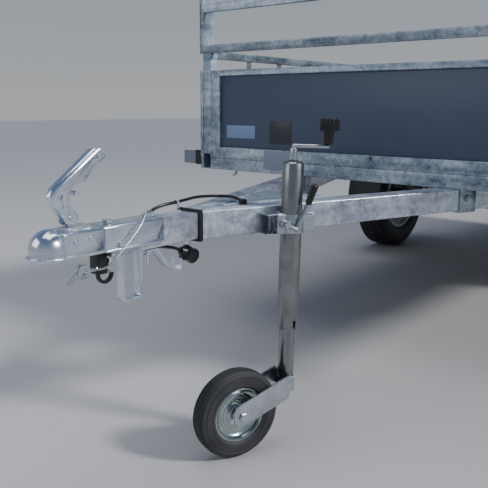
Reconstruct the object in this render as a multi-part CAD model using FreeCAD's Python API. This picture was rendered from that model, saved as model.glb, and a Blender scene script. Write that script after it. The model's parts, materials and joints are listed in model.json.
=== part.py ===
import FreeCAD, Part
import math
import os

# A single-axle utility trailer: a flat bed with boarded sides and open rails, a drop-down
# tailgate, a V drawbar with a ball coupling, and a telescopic jockey wheel that holds its nose.
# Millimetres. X points forwards, Y to the left and Z up. The ground is Z = 0, and the origin
# lies on it under the middle of the whole trailer's length and width.

V = FreeCAD.Vector

# Driving dimensions of the bed
BED_LENGTH = 3000.0
BED_WIDTH = 1334.0
NOSE_TO_BED = 736.0
ARM_SIDE = 60.0
ARM_WALL = 3.0
ARM_BOTTOM = 500.0
ARM_HALF_ANGLE = 19.09
NOSE_HALF_WIDTH = 33.0
NOSE_SIDE = 56.0
NOSE_LENGTH = 242.0

# Heights that stack up from the top of the drawbar
SKIRT_HEIGHT = 40.0
SILL_HEIGHT = 38.0
BOARD_HEIGHT = 242.0
CAP_HEIGHT = 19.0
RAIL_HEIGHT = 27.0
FIRST_GAP = 58.0
RACK_GAP = 108.0
RACK_RAILS = 2
SIDE_RAIL_DROP = 15.0

# Sections of the bed's galvanised steelwork
SECTION = 38.0
SECTION_WALL = 3.0
RUNNER_HEIGHT = 56.0
BOARD_THICK = 13.0
PANEL_THICK = 9.0
RAIL_THICK = 17.0
UPRIGHT_DEPTH = 54.0
STUB_WIDTH = 16.0
FLOOR_THICK = 12.0
BEAM_WIDTH = 40.0
BEAM_INSET = 6.0
BEAM_SETBACK = 700.0
CROSS_MEMBERS = 6
POST_WIDTH = 40.0
MID_POSTS = 2
HOOK_INSET = 157.0

# Tailgate
GATE_THICK = 30.0
GATE_GAP = 5.0
HINGE_PIN = 5.0
HINGE_WALL = 4.0
HINGE_LENGTH = 60.0
HINGE_INSET = 197.0
PIN_CLEAR = 0.1
LATCH_WIDTH = 26.0

# Running gear
AXLE_SETBACK = 1700.0
WHEEL_OUTER = 578.0
TYRE_WIDTH = 155.0
RIM_OUTER = 342.0
BEAD_INSET = 18.0
TYRE_WALL = 12.0
WHEEL_BOLTS = 4
BOLT_CIRCLE = 50.0
BOLT_RADIUS = 6.0
BOLT_CLEAR = 0.3
VENT_HOLES = 12
DISC_OFFSET = 16.0
DISC_THICK = 6.0
TYRE_TO_BED = 25.0
AXLE_SIDE = 50.0
SPRING_WIDTH = 45.0
SPRING_LEAF = 7.0
SPRING_LEAVES = 4
SPRING_HALF_SPAN = 330.0
SPRING_CAMBER = 70.0
EYE_OUTER = 16.0
SEAT_THICK = 6.0
SPINDLE = 17.0
GUARD_GAP = 42.0
GUARD_WALL = 4.0
GUARD_OVERLAP = 14.0
STAY_ANGLE = 55.0

# Coupling head and what hangs under it; drops are measured down from the top of the drawbar
BALL = 25.0
BALL_X = 356.0
BALL_DROP = 28.0
BALL_CLEAR = 0.5
DOME = 36.0
HEAD_WALL = 3.0
HEAD_RISE = 2.0
HEAD_HEIGHT = 46.0
HEAD_EDGE = 4.5
HEAD_CORNER = 10.0
BRIM = 4.5
FLANGE_THICK = 5.5
GROOVE_X = 258.0
GROOVE = 5.0
SLEEVE_END = 112.0
SLEEVE_WALL = 3.0
SLEEVE_HEIGHT = 47.0
LIP = 5.0
STUD_FRONT = 228.0
STUD_PITCH = 98.0
STUD_RADIUS = 5.0
# Rivets on the head's cheeks as (forward of the nose, below the drawbar's top, radius)
RIVETS = ((325.0, 17.0, 6.0), (291.0, 15.0, 6.0), (225.0, 33.0, 3.5), (140.0, 32.0, 3.5))
STIRRUP_DROP = 101.0
STIRRUP_WIDTH = 20.0
STIRRUP_THICK = 4.5
STIRRUP_FRONT = 202.0
STIRRUP_REAR = 153.0
HOLDER_THICK = 3.0
HOLDER_WIDTH = 30.0
TAG_DROP = 72.5
HOOK_RING = 26.0
HOOK_HOLE = 6.5
HOOK_X = 296.0
HOOK_Y0 = 12.0
HOOK_DROP = 78.0

# Coupling lever, a pressed channel with its web facing forwards
LEVER_WIDTH = 24.0
LEVER_WALL = 3.0
LEVER_FOLD = 9.0
LEVER_PIVOT_X = 315.0
LEVER_PIVOT_UP = 16.0
LEVER_FOOT = 14.5
LEVER_PIN = 4.0
EAR_CLEAR = 1.2
PLATE_THICK = 5.0
# Corners of the lever's cheek as (forward of the nose, above the drawbar's top), front then back
LEVER_FRONT = ((324, 15), (352, 51), (355, 64), (347, 78), (260, 142))
LEVER_BACK = ((244, 142), (235, 128), (246, 119), (259, 115), (282, 86), (291, 83), (305, 83),
              (315, 73), (318, 52), (302, 20))

# Holes in the lever's cheeks as (radius, forward of the nose, above the drawbar's top)
LEVER_HOLES = ((4.5, 257, 127), (4.0, 335, 63))

# Jockey wheel
JOCKEY_ALONG = 205.0
JOCKEY_OUT = 31.8
JOCKEY_LEAN = 1.2
OUTER_TUBE = 24.0
TUBE_WALL = 2.5
SLIDE_CLEAR = 0.3
TUBE_BELOW = 222.0
TUBE_LENGTH = 374.0
INNER_TUBE = 18.5
INNER_BOTTOM = 160.0
INNER_INSIDE = 122.0
JOCKEY_WHEEL = 204.0
JOCKEY_TYRE = 46.0
JOCKEY_RIM = 62.5
TRAIL = 134.0
FORK_PIN = 6.0
CHEEK_THICK = 5.0
CHEEK_INSIDE = 29.0
# Corners of the fork's cheek as (ahead of the tube, above the axle)
FORK = ((8, 77), (132, 34), (150, 26), (158, 12), (154, -10), (141, -20), (131, -21), (22, 17),
        (14, 21), (8, 35))
CLAMP_HEIGHT = 46.0
CLAMP_WALL = 4.0
CLAMP_FRONT = 70.0
CLAMP_LIP = 12.0
BOSS_AHEAD = 33.0
BOSS_UP = 24.0
BOSS = 11.0
# The clamp lever's elbow, neck and tip as (ahead of the tube, beyond the boss, above the clamp)
LEVER_BENDS = ((9, 9, 12), (-17, 11, 68), (-30, 13, 104))
LEVER_ROD = 5.0
GRIP = 9.0
CRANK_ARM = 75.0
CRANK_ROD = 4.0
CRANK_RISE = 34.0
CRANK_ANGLE = 148.7
KNOB_RADIUS = 23.5
KNOB_LOBES = 5

# Lead and breakaway cable
LEAD_RADIUS = 3.5
WIRE_RADIUS = 2.0
PLUG_RADIUS = 17.0
MARKER_BASE = 29.0
MARKER_LENS = 61.0
MARKER_LOW = 14.0
MARKER_HIGH = 61.0

# Places worked out from the driving dimensions
HINGE_REACH = HINGE_PIN + HINGE_WALL + 1.0
NOSE_TO_TIP = BALL_X + DOME + BRIM
TOTAL_LENGTH = NOSE_TO_TIP + NOSE_TO_BED + BED_LENGTH + HINGE_REACH + HINGE_PIN + HINGE_WALL
X_TIP = TOTAL_LENGTH / 2
X_NOSE = X_TIP - NOSE_TO_TIP
X_FRONT = X_NOSE - NOSE_TO_BED
X_REAR = X_FRONT - BED_LENGTH
X_AXLE = X_FRONT - AXLE_SETBACK
ARM_TOP = ARM_BOTTOM + ARM_SIDE
BALL_Z = ARM_TOP - BALL_DROP
HEAD_TOP = ARM_TOP + HEAD_RISE
HEAD_BASE = HEAD_TOP - HEAD_HEIGHT
PLATE_TOP = HEAD_TOP + PLATE_THICK
LEVER_PIVOT_Z = PLATE_TOP + LEVER_PIVOT_UP
NOSE_BOTTOM = ARM_BOTTOM + (ARM_SIDE - NOSE_SIDE) / 2
NOSE_TOP = NOSE_BOTTOM + NOSE_SIDE
SLEEVE_TOP = NOSE_TOP + SLEEVE_WALL
SLEEVE_LOW = SLEEVE_TOP - SLEEVE_HEIGHT
HEAD_HALF = NOSE_SIDE / 2 + SLEEVE_WALL + 1
STIRRUP_BOTTOM = NOSE_BOTTOM - STIRRUP_DROP
TUBE_BOTTOM = ARM_BOTTOM - TUBE_BELOW
TUBE_TOP = TUBE_BOTTOM + TUBE_LENGTH
INNER_TOP = TUBE_BOTTOM + INNER_INSIDE
CLAMP_BOTTOM = ARM_BOTTOM + 1
CLAMP_TOP = CLAMP_BOTTOM + CLAMP_HEIGHT
LEAN_Z = CLAMP_BOTTOM + CLAMP_HEIGHT / 2
AXLE_RISE = TRAIL * math.sin(math.radians(JOCKEY_LEAN))
AXLE_Z = LEAN_Z - (LEAN_Z - JOCKEY_WHEEL / 2 + AXLE_RISE) / math.cos(math.radians(JOCKEY_LEAN))
Z_SILL = ARM_TOP + SKIRT_HEIGHT
Z_BOARD = Z_SILL + SILL_HEIGHT
Z_CAP = Z_BOARD + BOARD_HEIGHT
Z_CAP_TOP = Z_CAP + CAP_HEIGHT
Z_RAIL = Z_CAP_TOP + FIRST_GAP
Z_RACK_TOP = Z_RAIL + RAIL_HEIGHT + RACK_RAILS * (RACK_GAP + RAIL_HEIGHT)
HALF_WIDTH = BED_WIDTH / 2
BOARD_IN = HALF_WIDTH - BOARD_THICK
POST_IN = BOARD_IN - SECTION
RUNNER_TOP = ARM_TOP + RUNNER_HEIGHT
Z_FLOOR = Z_SILL + FLOOR_THICK
X_GATE_FRONT = X_REAR + GATE_THICK
X_REAR_POST = X_GATE_FRONT + GATE_GAP
X_SIDE_END = X_REAR_POST
Z_HINGE = Z_SILL + HINGE_PIN + HINGE_WALL
X_HINGE = X_REAR - HINGE_REACH
WHEEL_RADIUS = WHEEL_OUTER / 2
WHEEL_Y = HALF_WIDTH + TYRE_TO_BED + TYRE_WIDTH / 2
BEAM_OUTER = POST_IN - BEAM_INSET
BEAM_INNER = BEAM_OUTER - BEAM_WIDTH
SPRING_Y = BEAM_OUTER - BEAM_WIDTH / 2
HOOK_Y = HALF_WIDTH - HOOK_INSET
HINGE_Y = HALF_WIDTH - HINGE_INSET
X_BEAM_FRONT = X_FRONT - BEAM_SETBACK
ARM_TAN = math.tan(math.radians(ARM_HALF_ANGLE))
ARM_COS = math.cos(math.radians(ARM_HALF_ANGLE))
ARM_SIN = math.sin(math.radians(ARM_HALF_ANGLE))
INNER_CLEAR = OUTER_TUBE - TUBE_WALL


def block(x0, x1, y0, y1, z0, z1):
    return Part.makeBox(x1 - x0, y1 - y0, z1 - z0, V(x0, y0, z0))


def rod(radius, start, end):
    start = V(*start)
    along = V(*end) - start
    return Part.makeCylinder(radius, along.Length, start, along)


def joined(shapes):
    shapes = list(shapes)
    return shapes[0].fuse(shapes[1:]).removeSplitter() if len(shapes) > 1 else shapes[0]


def cut(shape, tools):
    return shape.cut(list(tools)).removeSplitter()


def apart(shapes):
    return Part.makeCompound(list(shapes))


def mirrored(shape):
    return shape.mirror(V(0, 0, 0), V(0, 1, 0))


def both_sides(shape):
    return [shape, mirrored(shape)]


def placed(shape, x=0.0, y=0.0, z=0.0, turn=0.0):
    moved = shape.copy()
    moved.rotate(V(0, 0, 0), V(0, 0, 1), turn)
    moved.translate(V(x, y, z))
    return moved


def prism(outline, along):
    """A flat outline of (x, y, z) corners, pushed along a vector."""
    points = [V(*corner) for corner in outline]
    face = Part.Face(Part.makePolygon(points + points[:1]))
    return face.extrude(V(*along))


def tube_between(x0, x1, y0, y1, z0, z1, wall, axis):
    """A hollow section that fills a box, open at both ends of the axis."""
    outer = block(x0, x1, y0, y1, z0, z1)
    grow = {"x": (0, wall, wall), "y": (wall, 0, wall), "z": (wall, wall, 0)}[axis]
    inner = block(x0 + grow[0], x1 - grow[0], y0 + grow[1], y1 - grow[1], z0 + grow[2], z1 - grow[2])
    along = {"x": 0, "y": 1, "z": 2}[axis]
    edges = [edge for edge in outer.Edges if abs(edge.tangentAt(edge.FirstParameter)[along]) > 0.9]
    return outer.makeFillet(1.2 * wall, edges).cut(inner)


def turned(profile, centre, axis=(0, 1, 0)):
    """A ring from (along, radius) corners, spun about an axis through the centre."""
    points = [V(radius, 0, along) for along, radius in profile]
    face = Part.Face(Part.makePolygon(points + points[:1]))
    ring = face.revolve(V(0, 0, 0), V(0, 0, 1), 360)
    ring.Placement = FreeCAD.Placement(V(*centre), FreeCAD.Rotation(V(0, 0, 1), V(*axis)))
    return ring


def hexagon(across, thick, centre, axis):
    """A nut or bolt head that starts at the centre and grows along the axis."""
    corner = across / math.sqrt(3)
    points = [V(corner * math.cos(math.radians(60 * k)), corner * math.sin(math.radians(60 * k)), 0)
              for k in range(6)]
    solid = Part.Face(Part.makePolygon(points + points[:1])).extrude(V(0, 0, thick))
    solid.Placement = FreeCAD.Placement(V(*centre), FreeCAD.Rotation(V(0, 0, 1), V(*axis)))
    return solid


def swept(route, radius, name):
    """A cord's tube: straight runs joined by tangent arcs, each as large as its runs allow."""
    points = [V(*point) for point in route]
    edges = []
    radii = []
    start = points[0]
    for before, corner, after in zip(points, points[1:], points[2:]):
        into = corner - before
        out = after - corner
        turn = into.getAngle(out)
        reach = 0.45 * min(into.Length, out.Length)
        radii.append(reach / math.tan(turn / 2))
        first = corner - V(into).normalize() * reach
        last = corner + V(out).normalize() * reach
        inward = (first + last) * 0.5 - corner
        bow = radii[-1] / math.cos(turn / 2) - radii[-1]
        middle = corner + V(inward).normalize() * bow
        edges.append(Part.LineSegment(start, first).toShape())
        edges.append(Part.Arc(first, middle, last).toShape())
        start = last
    edges.append(Part.LineSegment(start, points[-1]).toShape())
    path = Part.Wire(edges)
    circle = Part.Wire(Part.makeCircle(radius, points[0], points[1] - points[0]))
    tube = path.makePipeShell([circle], True, False)
    expected = math.pi * radius ** 2 * path.Length
    print(name, "radii", [round(r) for r in radii], "length", round(path.Length),
          "volume ratio", round(tube.Volume / expected, 4))
    return tube


def nose(route):
    """Points given from the top of the drawbar's nose, moved to the trailer's own origin."""
    return [(X_NOSE + x, y, ARM_TOP + z) for x, y, z in route]


# Drawbar

def drawbar_arm():
    """The left arm, mitred on the centre line at the nose and butted against the bed's beam."""
    length = (BEAM_OUTER / ARM_TAN + 2 * ARM_SIDE) / ARM_COS
    arm = tube_between(-length, ARM_SIDE, -ARM_SIDE, 0, ARM_BOTTOM, ARM_TOP, ARM_WALL, "x")
    arm = placed(arm, X_NOSE, NOSE_HALF_WIDTH, 0, -ARM_HALF_ANGLE)
    keep = block(X_NOSE - BED_LENGTH, X_NOSE, 0, BEAM_INNER, ARM_BOTTOM, ARM_TOP)
    return arm.common(keep)


def nose_tube():
    half = NOSE_SIDE / 2
    tube = tube_between(X_NOSE, X_NOSE + NOSE_LENGTH, -half, half, NOSE_BOTTOM, NOSE_TOP, ARM_WALL, "x")
    return cut(tube, [rod(STUD_RADIUS, (x, 0, 0), (x, 0, HEAD_TOP)) for x in stud_places()])


def nose_band():
    """The black band that covers the weld between the nose tube and the two arms."""
    reach = ARM_SIDE / 2 + 3.0
    outer = block(X_NOSE + 0.5, X_NOSE + 10.5, -reach, reach, ARM_BOTTOM - 4, ARM_TOP + 4)
    inner = block(X_NOSE, X_NOSE + 11, -NOSE_SIDE / 2, NOSE_SIDE / 2, NOSE_BOTTOM, NOSE_TOP)
    return outer.cut(inner)


def nose_gusset():
    """A flat plate let in between the arms, flush with their tops."""
    offset = ARM_SIDE / ARM_COS - NOSE_HALF_WIDTH
    front = offset / ARM_TAN + 8
    rear = front + 290
    thick = 5.0
    corner = [(-front, front * ARM_TAN - offset), (-rear, rear * ARM_TAN - offset)]
    outline = corner + [(x, -y) for x, y in reversed(corner)]
    return prism([(X_NOSE + x, y, ARM_TOP - thick) for x, y in outline], (0, 0, thick))


def arm_bracket():
    """A saddle that wraps the left arm and hangs it from the bed's front rail."""
    wall = 5.0
    length = 62.0
    outer = Part.makeBox(length, ARM_SIDE + 2 * wall, ARM_SIDE + wall,
                         V(0, -ARM_SIDE - wall, ARM_BOTTOM - wall))
    inner = Part.makeBox(length, ARM_SIDE, ARM_SIDE, V(0, -ARM_SIDE, ARM_BOTTOM))
    saddle = outer.cut(inner)
    bolt = hexagon(19, 9, (length / 2 + 4, wall, ARM_BOTTOM + 34), (0, 1, 0))
    saddle = joined([saddle, bolt])
    along = (NOSE_TO_BED + 8) / ARM_COS
    saddle.translate(V(-along - length, 0, 0))
    saddle = placed(saddle, X_NOSE, NOSE_HALF_WIDTH, 0, -ARM_HALF_ANGLE)
    return saddle


# Coupling

def stud_places():
    return [X_NOSE + STUD_FRONT, X_NOSE + STUD_FRONT - STUD_PITCH]


def head_half(share):
    """Half the width of the head's body, from the ball (0) back to the groove (1)."""
    return DOME - 1 + (HEAD_HALF - DOME + 1) * share


def head_body():
    """The tapered body behind the dome, with firm top edges that run into the dome."""
    rear = X_NOSE + GROOVE_X + GROOVE
    front = X_NOSE + BALL_X - 2
    outline = [(rear, -head_half(1)), (rear, head_half(1)), (front, head_half(0)), (front, -head_half(0))]
    body = prism([(x, y, HEAD_BASE) for x, y in outline], (0, 0, HEAD_TOP - HEAD_BASE))
    corners = [edge for edge in body.Edges if edge.BoundBox.ZLength > 5 and edge.BoundBox.XMin > front - 1]
    body = body.makeFillet(HEAD_CORNER, corners)
    top = [edge for edge in body.Edges if edge.BoundBox.ZMin > HEAD_TOP - 1]
    top = [edge for edge in top if edge.BoundBox.XMax > rear + 1]
    return body.makeFillet(HEAD_EDGE, top)


def head_front():
    """Dome, body and flange of the head, hollow for the ball and its latch."""
    ball = V(X_NOSE + BALL_X, 0, BALL_Z)
    rear = X_NOSE + GROOVE_X + GROOVE
    dome = Part.makeSphere(DOME, ball)
    dome = dome.common(block(ball.x - DOME, ball.x + DOME, -DOME, DOME, BALL_Z, BALL_Z + DOME))
    skirt = Part.makeCylinder(DOME, BALL_Z - HEAD_BASE, V(ball.x, 0, HEAD_BASE))
    reach = X_TIP - ball.x
    flange = Part.makeCylinder(reach, FLANGE_THICK, V(ball.x, 0, HEAD_BASE))
    flange = flange.makeFillet(FLANGE_THICK / 3, flange.Edges[:1])
    brim = HEAD_HALF + LIP
    side = prism([(rear, -brim, HEAD_BASE), (rear, brim, HEAD_BASE), (ball.x, reach, HEAD_BASE),
                  (ball.x, -reach, HEAD_BASE)], (0, 0, FLANGE_THICK))
    neck = block(rear - GROOVE, rear, -NOSE_SIDE / 2, NOSE_SIDE / 2, HEAD_BASE, NOSE_TOP)
    solid = joined([dome, skirt, head_body(), flange, side, neck])
    room = BALL + BALL_CLEAR
    socket = Part.makeSphere(room, ball)
    mouth = Part.makeCylinder(room, BALL_Z - HEAD_BASE + 1, V(ball.x, 0, HEAD_BASE - 1))
    inside = HEAD_HALF - 8
    hollow = block(rear + HEAD_WALL, ball.x - room - 7, -inside, inside, HEAD_BASE - 1, HEAD_TOP - 8)
    return cut(solid, [socket, mouth, hollow])


def sleeve():
    """The back of the head: a channel pressed over the nose tube, with a lip along each side."""
    half = NOSE_SIDE / 2 + SLEEVE_WALL
    back = X_NOSE + SLEEVE_END
    front = X_NOSE + GROOVE_X
    low = SLEEVE_LOW
    shell = block(back, front, -half, half, low, SLEEVE_TOP)
    edges = [edge for edge in shell.Edges if edge.BoundBox.ZMin > NOSE_TOP and edge.BoundBox.XLength > 10]
    shell = shell.makeFillet(4, edges)
    bore = block(back - 1, X_NOSE + NOSE_LENGTH, -NOSE_SIDE / 2, NOSE_SIDE / 2, low - 1, NOSE_TOP)
    lip = block(back, front, half, half + LIP, low, low + SLEEVE_WALL)
    return joined([shell.cut(bore)] + both_sides(lip))


def coupling_head():
    """A pressed ball coupling: dome and flange in front, and a sleeve over the nose tube."""
    head = joined([head_front(), sleeve(), lever_seat()] + rivet_heads())
    studs = [rod(STUD_RADIUS, (x, 0, 0), (x, 0, HEAD_TOP + 9)) for x in stud_places()]
    return cut(head, studs)


def rivet_heads():
    """Round rivet heads on both cheeks of the head and of its sleeve."""
    heads = []
    for x, drop, radius in RIVETS:
        share = max(0, (BALL_X - x) / (BALL_X - GROOVE_X))
        side = NOSE_SIDE / 2 + SLEEVE_WALL if share > 1 else head_half(share)
        head = Part.makeCone(radius, radius - 1.5, 4, V(X_NOSE + x, side - 1, ARM_TOP - drop), V(0, 1, 0))
        heads += both_sides(head)
    return heads


def coupling_studs():
    """Upright bolts that pass through sleeve, nose tube and stirrup, with heads and nuts."""
    solids = []
    for x, extra in zip(stud_places(), (0, HOLDER_THICK)):
        below = NOSE_BOTTOM - STIRRUP_THICK - extra
        shank = rod(STUD_RADIUS, (x, 0, below - 28), (x, 0, SLEEVE_TOP))
        head = hexagon(17, 8, (x, 0, SLEEVE_TOP), (0, 0, 1))
        nut = hexagon(17, 10, (x, 0, below), (0, 0, -1))
        solids.append(joined([shank, head, nut]))
    return apart(solids)


def breakaway_anchor():
    """A lug on the nose tube, just behind the sleeve, for the cable's end."""
    x = X_NOSE + SLEEVE_END
    lug = block(x - 6, x + 8, -8, 4, SLEEVE_TOP, SLEEVE_TOP + 3)
    return joined([lug, rod(3, (x, -2, SLEEVE_TOP + 3), (x, -2, ARM_TOP + 8.7))])


def stirrup():
    """The safety stirrup: a flat bar bent down into a loop, with a foot under each bolt."""
    front = X_NOSE + STIRRUP_FRONT
    rear = X_NOSE + STIRRUP_REAR
    wide = STIRRUP_WIDTH / 2
    thick = STIRRUP_THICK
    top = NOSE_BOTTOM
    outer = block(rear, front, -wide, wide, STIRRUP_BOTTOM, top)
    inner = block(rear + thick, front - thick, -wide, wide, STIRRUP_BOTTOM + thick, top)
    low = [edge for edge in outer.Edges if edge.BoundBox.YLength > 5 and edge.BoundBox.ZMax < top - 5]
    outer = outer.makeFillet(10, low)
    low = [edge for edge in inner.Edges if edge.BoundBox.YLength > 5 and edge.BoundBox.ZMax < top - 5]
    inner = inner.makeFillet(10 - thick, low)
    ends = (X_NOSE + STUD_FRONT + 14, X_NOSE + STUD_FRONT - STUD_PITCH - 14)
    feet = [block(front, ends[0], -wide, wide, top - thick, top),
            block(ends[1], rear, -wide, wide, top - thick, top)]
    bar = joined([outer.cut(inner)] + feet)
    return cut(bar, [rod(STUD_RADIUS, (x, 0, 0), (x, 0, top + 1)) for x in stud_places()])


def inset(line, gap):
    """The inner points of a broken line, each moved square to it by the gap, as (x, z)."""
    moved = []
    for (x0, z0), (x1, z1), (x2, z2) in zip(line, line[1:], line[2:]):
        first = V(z0 - z1, 0, x1 - x0).normalize()
        second = V(z1 - z2, 0, x2 - x1).normalize()
        move = (first + second) * (gap / (1 + first.dot(second)))
        moved.append((x1 + move.x, z1 + move.z))
    return moved


def rounded_slab(outline, folds, half, radius):
    """A slab between two cheeks, with both edges rounded along the first few sides of its outline."""
    slab = prism([(X_NOSE + x, -half, ARM_TOP + z) for x, z in outline], (0, 2 * half, 0))
    middles = [V(X_NOSE + (x0 + x1) / 2, side, ARM_TOP + (z0 + z1) / 2) for side in (-half, half)
               for (x0, z0), (x1, z1) in zip(outline[:folds], outline[1:folds + 1])]
    edges = [edge for edge in slab.Edges
             if any(edge.CenterOfMass.distanceToPoint(middle) < 0.1 for middle in middles)]
    return slab.makeFillet(radius, edges)


def lever():
    """The hand lever: a pressed channel, cranked forwards above its pivot and open behind."""
    wall = LEVER_WALL
    half = LEVER_WIDTH / 2
    folds = len(LEVER_FRONT) - 1
    body = rounded_slab(LEVER_FRONT + LEVER_BACK, folds, half, LEVER_FOLD)
    line = [(286, -34)] + list(LEVER_FRONT) + [(172, 206)]
    inner = [(284, -34)] + inset(line, wall)[1:-1] + [(170, 202), (100, 202), (100, -34)]
    body = body.cut(rounded_slab(inner, folds, half - wall, LEVER_FOLD - wall))
    x = X_NOSE + LEVER_PIVOT_X
    z = LEVER_PIVOT_Z
    foot = rod(LEVER_FOOT, (x, -half, z), (x, half, z))
    foot = foot.cut(rod(LEVER_FOOT + 1, (x, -half + wall, z), (x, half - wall, z)))
    rivet = rod(5.5, (X_NOSE + 327, -half - 2.5, ARM_TOP + 43), (X_NOSE + 327, half + 2.5, ARM_TOP + 43))
    stub = rod(4, (X_NOSE + 306, -half - 1, ARM_TOP + 67), (X_NOSE + 306, half + 6, ARM_TOP + 67))
    plate = block(X_NOSE + 306, X_NOSE + 318, -half + 1, half - 1, ARM_TOP + 64, ARM_TOP + 70)
    holes = [rod(radius, (X_NOSE + ahead, -half - 1, ARM_TOP + up), (X_NOSE + ahead, half + 1, ARM_TOP + up))
             for radius, ahead, up in LEVER_HOLES]
    bore = rod(LEVER_PIN + 2 * PIN_CLEAR, (x, -half - 1, z), (x, half + 1, z))
    return cut(joined([body, foot, rivet, stub, plate]), holes + [bore])


def lever_seat():
    """The plate on the head with the two ears and the pin that carry the lever."""
    x = X_NOSE + LEVER_PIVOT_X
    half = LEVER_WIDTH / 2
    plate = block(x - 38, x + 12, -half - 3, half + 3, HEAD_TOP - 2, PLATE_TOP)
    ear_out = half - LEVER_WALL - EAR_CLEAR
    ear = rod(5.5, (x, ear_out - 4, LEVER_PIVOT_Z), (x, ear_out, LEVER_PIVOT_Z))
    foot = block(x - 8, x + 3, ear_out - 4, ear_out, HEAD_TOP - 2, LEVER_PIVOT_Z)
    pin = rod(LEVER_PIN, (x, -half - 1.5, LEVER_PIVOT_Z), (x, half + 1.5, LEVER_PIVOT_Z))
    return joined([plate, pin] + both_sides(joined([ear, foot])))


def plug_holder():
    """A bent strap with a folded tab under the rear bolt, and the tag that the plug hangs from."""
    half = HOLDER_WIDTH / 2
    thick = HOLDER_THICK
    top = NOSE_BOTTOM - STIRRUP_THICK
    x = stud_places()[1]
    line = [(x + 13, top), (x - 16, top), (x - 52, ARM_BOTTOM - 46), (x - 84, ARM_BOTTOM - 61)]
    lower = [(px, z - thick) for px, z in reversed(line)]
    strap = prism([(px, -half, z) for px, z in line + lower], (0, HOLDER_WIDTH, 0))
    fold = block(x - 84, x - 81, -half, half, ARM_BOTTOM - 61 - thick, ARM_BOTTOM - 35)
    strap = cut(joined([strap, fold]), [rod(STUD_RADIUS, (x, 0, 0), (x, 0, top + 1))])
    tag = block(X_NOSE + 12, X_NOSE + 15, -9, 9, ARM_TOP - TAG_DROP, NOSE_BOTTOM)
    return apart([tag, strap])


def cable_hook():
    """The breakaway cable's end under the head: a clamped lug, an open hook, a ring and a blade."""
    x, y, z = X_NOSE + HOOK_X, HOOK_Y0, ARM_TOP - HOOK_DROP
    half = HOOK_RING / 2
    eye = hexagon(HOOK_RING, 10, (x, y - 6, z), (0, 1, 0))
    eye = eye.cut(rod(HOOK_HOLE, (x, y - 8, z), (x, y + 6, z)))
    blade = prism([(x + half - 3, y - 1.5, z - 2), (x + half + 16, y - 1.5, z - 22),
                   (x + half + 26, y - 1.5, z - 18),
                   (x + half - 1, y - 1.5, z + 4)], (0, 3, 0))
    rear = X_NOSE + NOSE_LENGTH
    lug = block(rear, rear + 22, -10, y + 2, z - 12, SLEEVE_LOW)
    neck = rod(4, (rear + 20, y - 2, z), (x - half + 2, y - 2, z))
    bow = cut(ring(19, 13, -3, 3), [block(-30, 12, 0, 30, -5, 5)])
    bow.rotate(V(0, 0, 0), V(1, 0, 0), 90)
    bow.translate(V(rear + 4, y - 2, z - 13))
    last, end = [V(*point) for point in nose(WIRE_ROUTE[-2:])]
    ferrule = rod(3.5, end, end + (end - last).normalize() * 14)
    return joined([eye, blade, lug, neck, bow, ferrule])


# Bed frame

def runner():
    """The left long rail, a hollow section whose open end shows at the front corner."""
    return tube_between(X_SIDE_END, X_FRONT, POST_IN, BOARD_IN, ARM_TOP, RUNNER_TOP, SECTION_WALL, "x")


def end_rail(x0):
    """A folded cross rail under the floor, between the long rails."""
    return tube_between(x0, x0 + SECTION, -POST_IN, POST_IN, ARM_TOP, Z_SILL, SECTION_WALL, "y")


def rope_hooks():
    """Small hooks under the front rail."""
    hooks = []
    for y in (-HOOK_Y, HOOK_Y):
        x = X_FRONT - 12
        hooks.append(rod(4, (x, y, ARM_TOP - 12), (x, y, ARM_TOP + 1)))
        hooks.append(rod(4, (x, y, ARM_TOP - 10), (x + 14, y, ARM_TOP - 16)))
    return hooks


def cross_rails():
    """The rails across the bed: one at each end and cross members between them."""
    front = joined([end_rail(X_FRONT - SECTION)] + rope_hooks())
    return apart([front, end_rail(X_REAR_POST)] + cross_members())


def cross_members():
    first = X_FRONT - SECTION
    last = X_REAR_POST + SECTION
    pitch = (first - last) / (CROSS_MEMBERS + 1)
    bars = []
    for k in range(CROSS_MEMBERS):
        x = first - pitch * (k + 1)
        bar = block(x - 20, x + 20, -POST_IN, POST_IN, ARM_TOP, Z_SILL)
        hollow = block(x - 20 + SECTION_WALL, x + 20, -POST_IN, POST_IN, ARM_TOP + SECTION_WALL,
                       Z_SILL - SECTION_WALL)
        bars.append(bar.cut(hollow))
    return bars


def under_beam():
    """The left under-bed beam that takes the spring hangers and the end of the arm."""
    return tube_between(X_REAR_POST, X_BEAM_FRONT, BEAM_INNER, BEAM_OUTER, ARM_BOTTOM, ARM_TOP,
                        SECTION_WALL, "x")


def floor_board():
    front = X_FRONT - SECTION
    board = block(X_GATE_FRONT + GATE_GAP, front, -POST_IN, POST_IN, Z_SILL, Z_FLOOR)
    return board


def corner_post(x0, top):
    return tube_between(x0, x0 + SECTION, POST_IN, BOARD_IN, RUNNER_TOP, top, SECTION_WALL, "z")


def corner_posts():
    front = corner_post(X_FRONT - SECTION, Z_RAIL)
    rear = corner_post(X_REAR_POST, Z_RAIL - SIDE_RAIL_DROP)
    return apart(both_sides(front) + both_sides(rear))


# Front board and rack

def front_frame():
    """Sill, two posts and thin cap rail around the grey front panel."""
    back = X_FRONT - SECTION
    sill = block(back, X_FRONT, -POST_IN, POST_IN, Z_SILL, Z_BOARD)
    cap = block(back, X_FRONT, -POST_IN, POST_IN, Z_CAP, Z_CAP_TOP)
    post = block(back, X_FRONT, POST_IN - POST_WIDTH, POST_IN, Z_BOARD, Z_CAP)
    return joined([sill, cap] + both_sides(post))


def front_panel():
    middle = X_FRONT - SECTION / 2
    edge = POST_IN - POST_WIDTH
    return block(middle, middle + PANEL_THICK, -edge, edge, Z_BOARD, Z_CAP)


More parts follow.
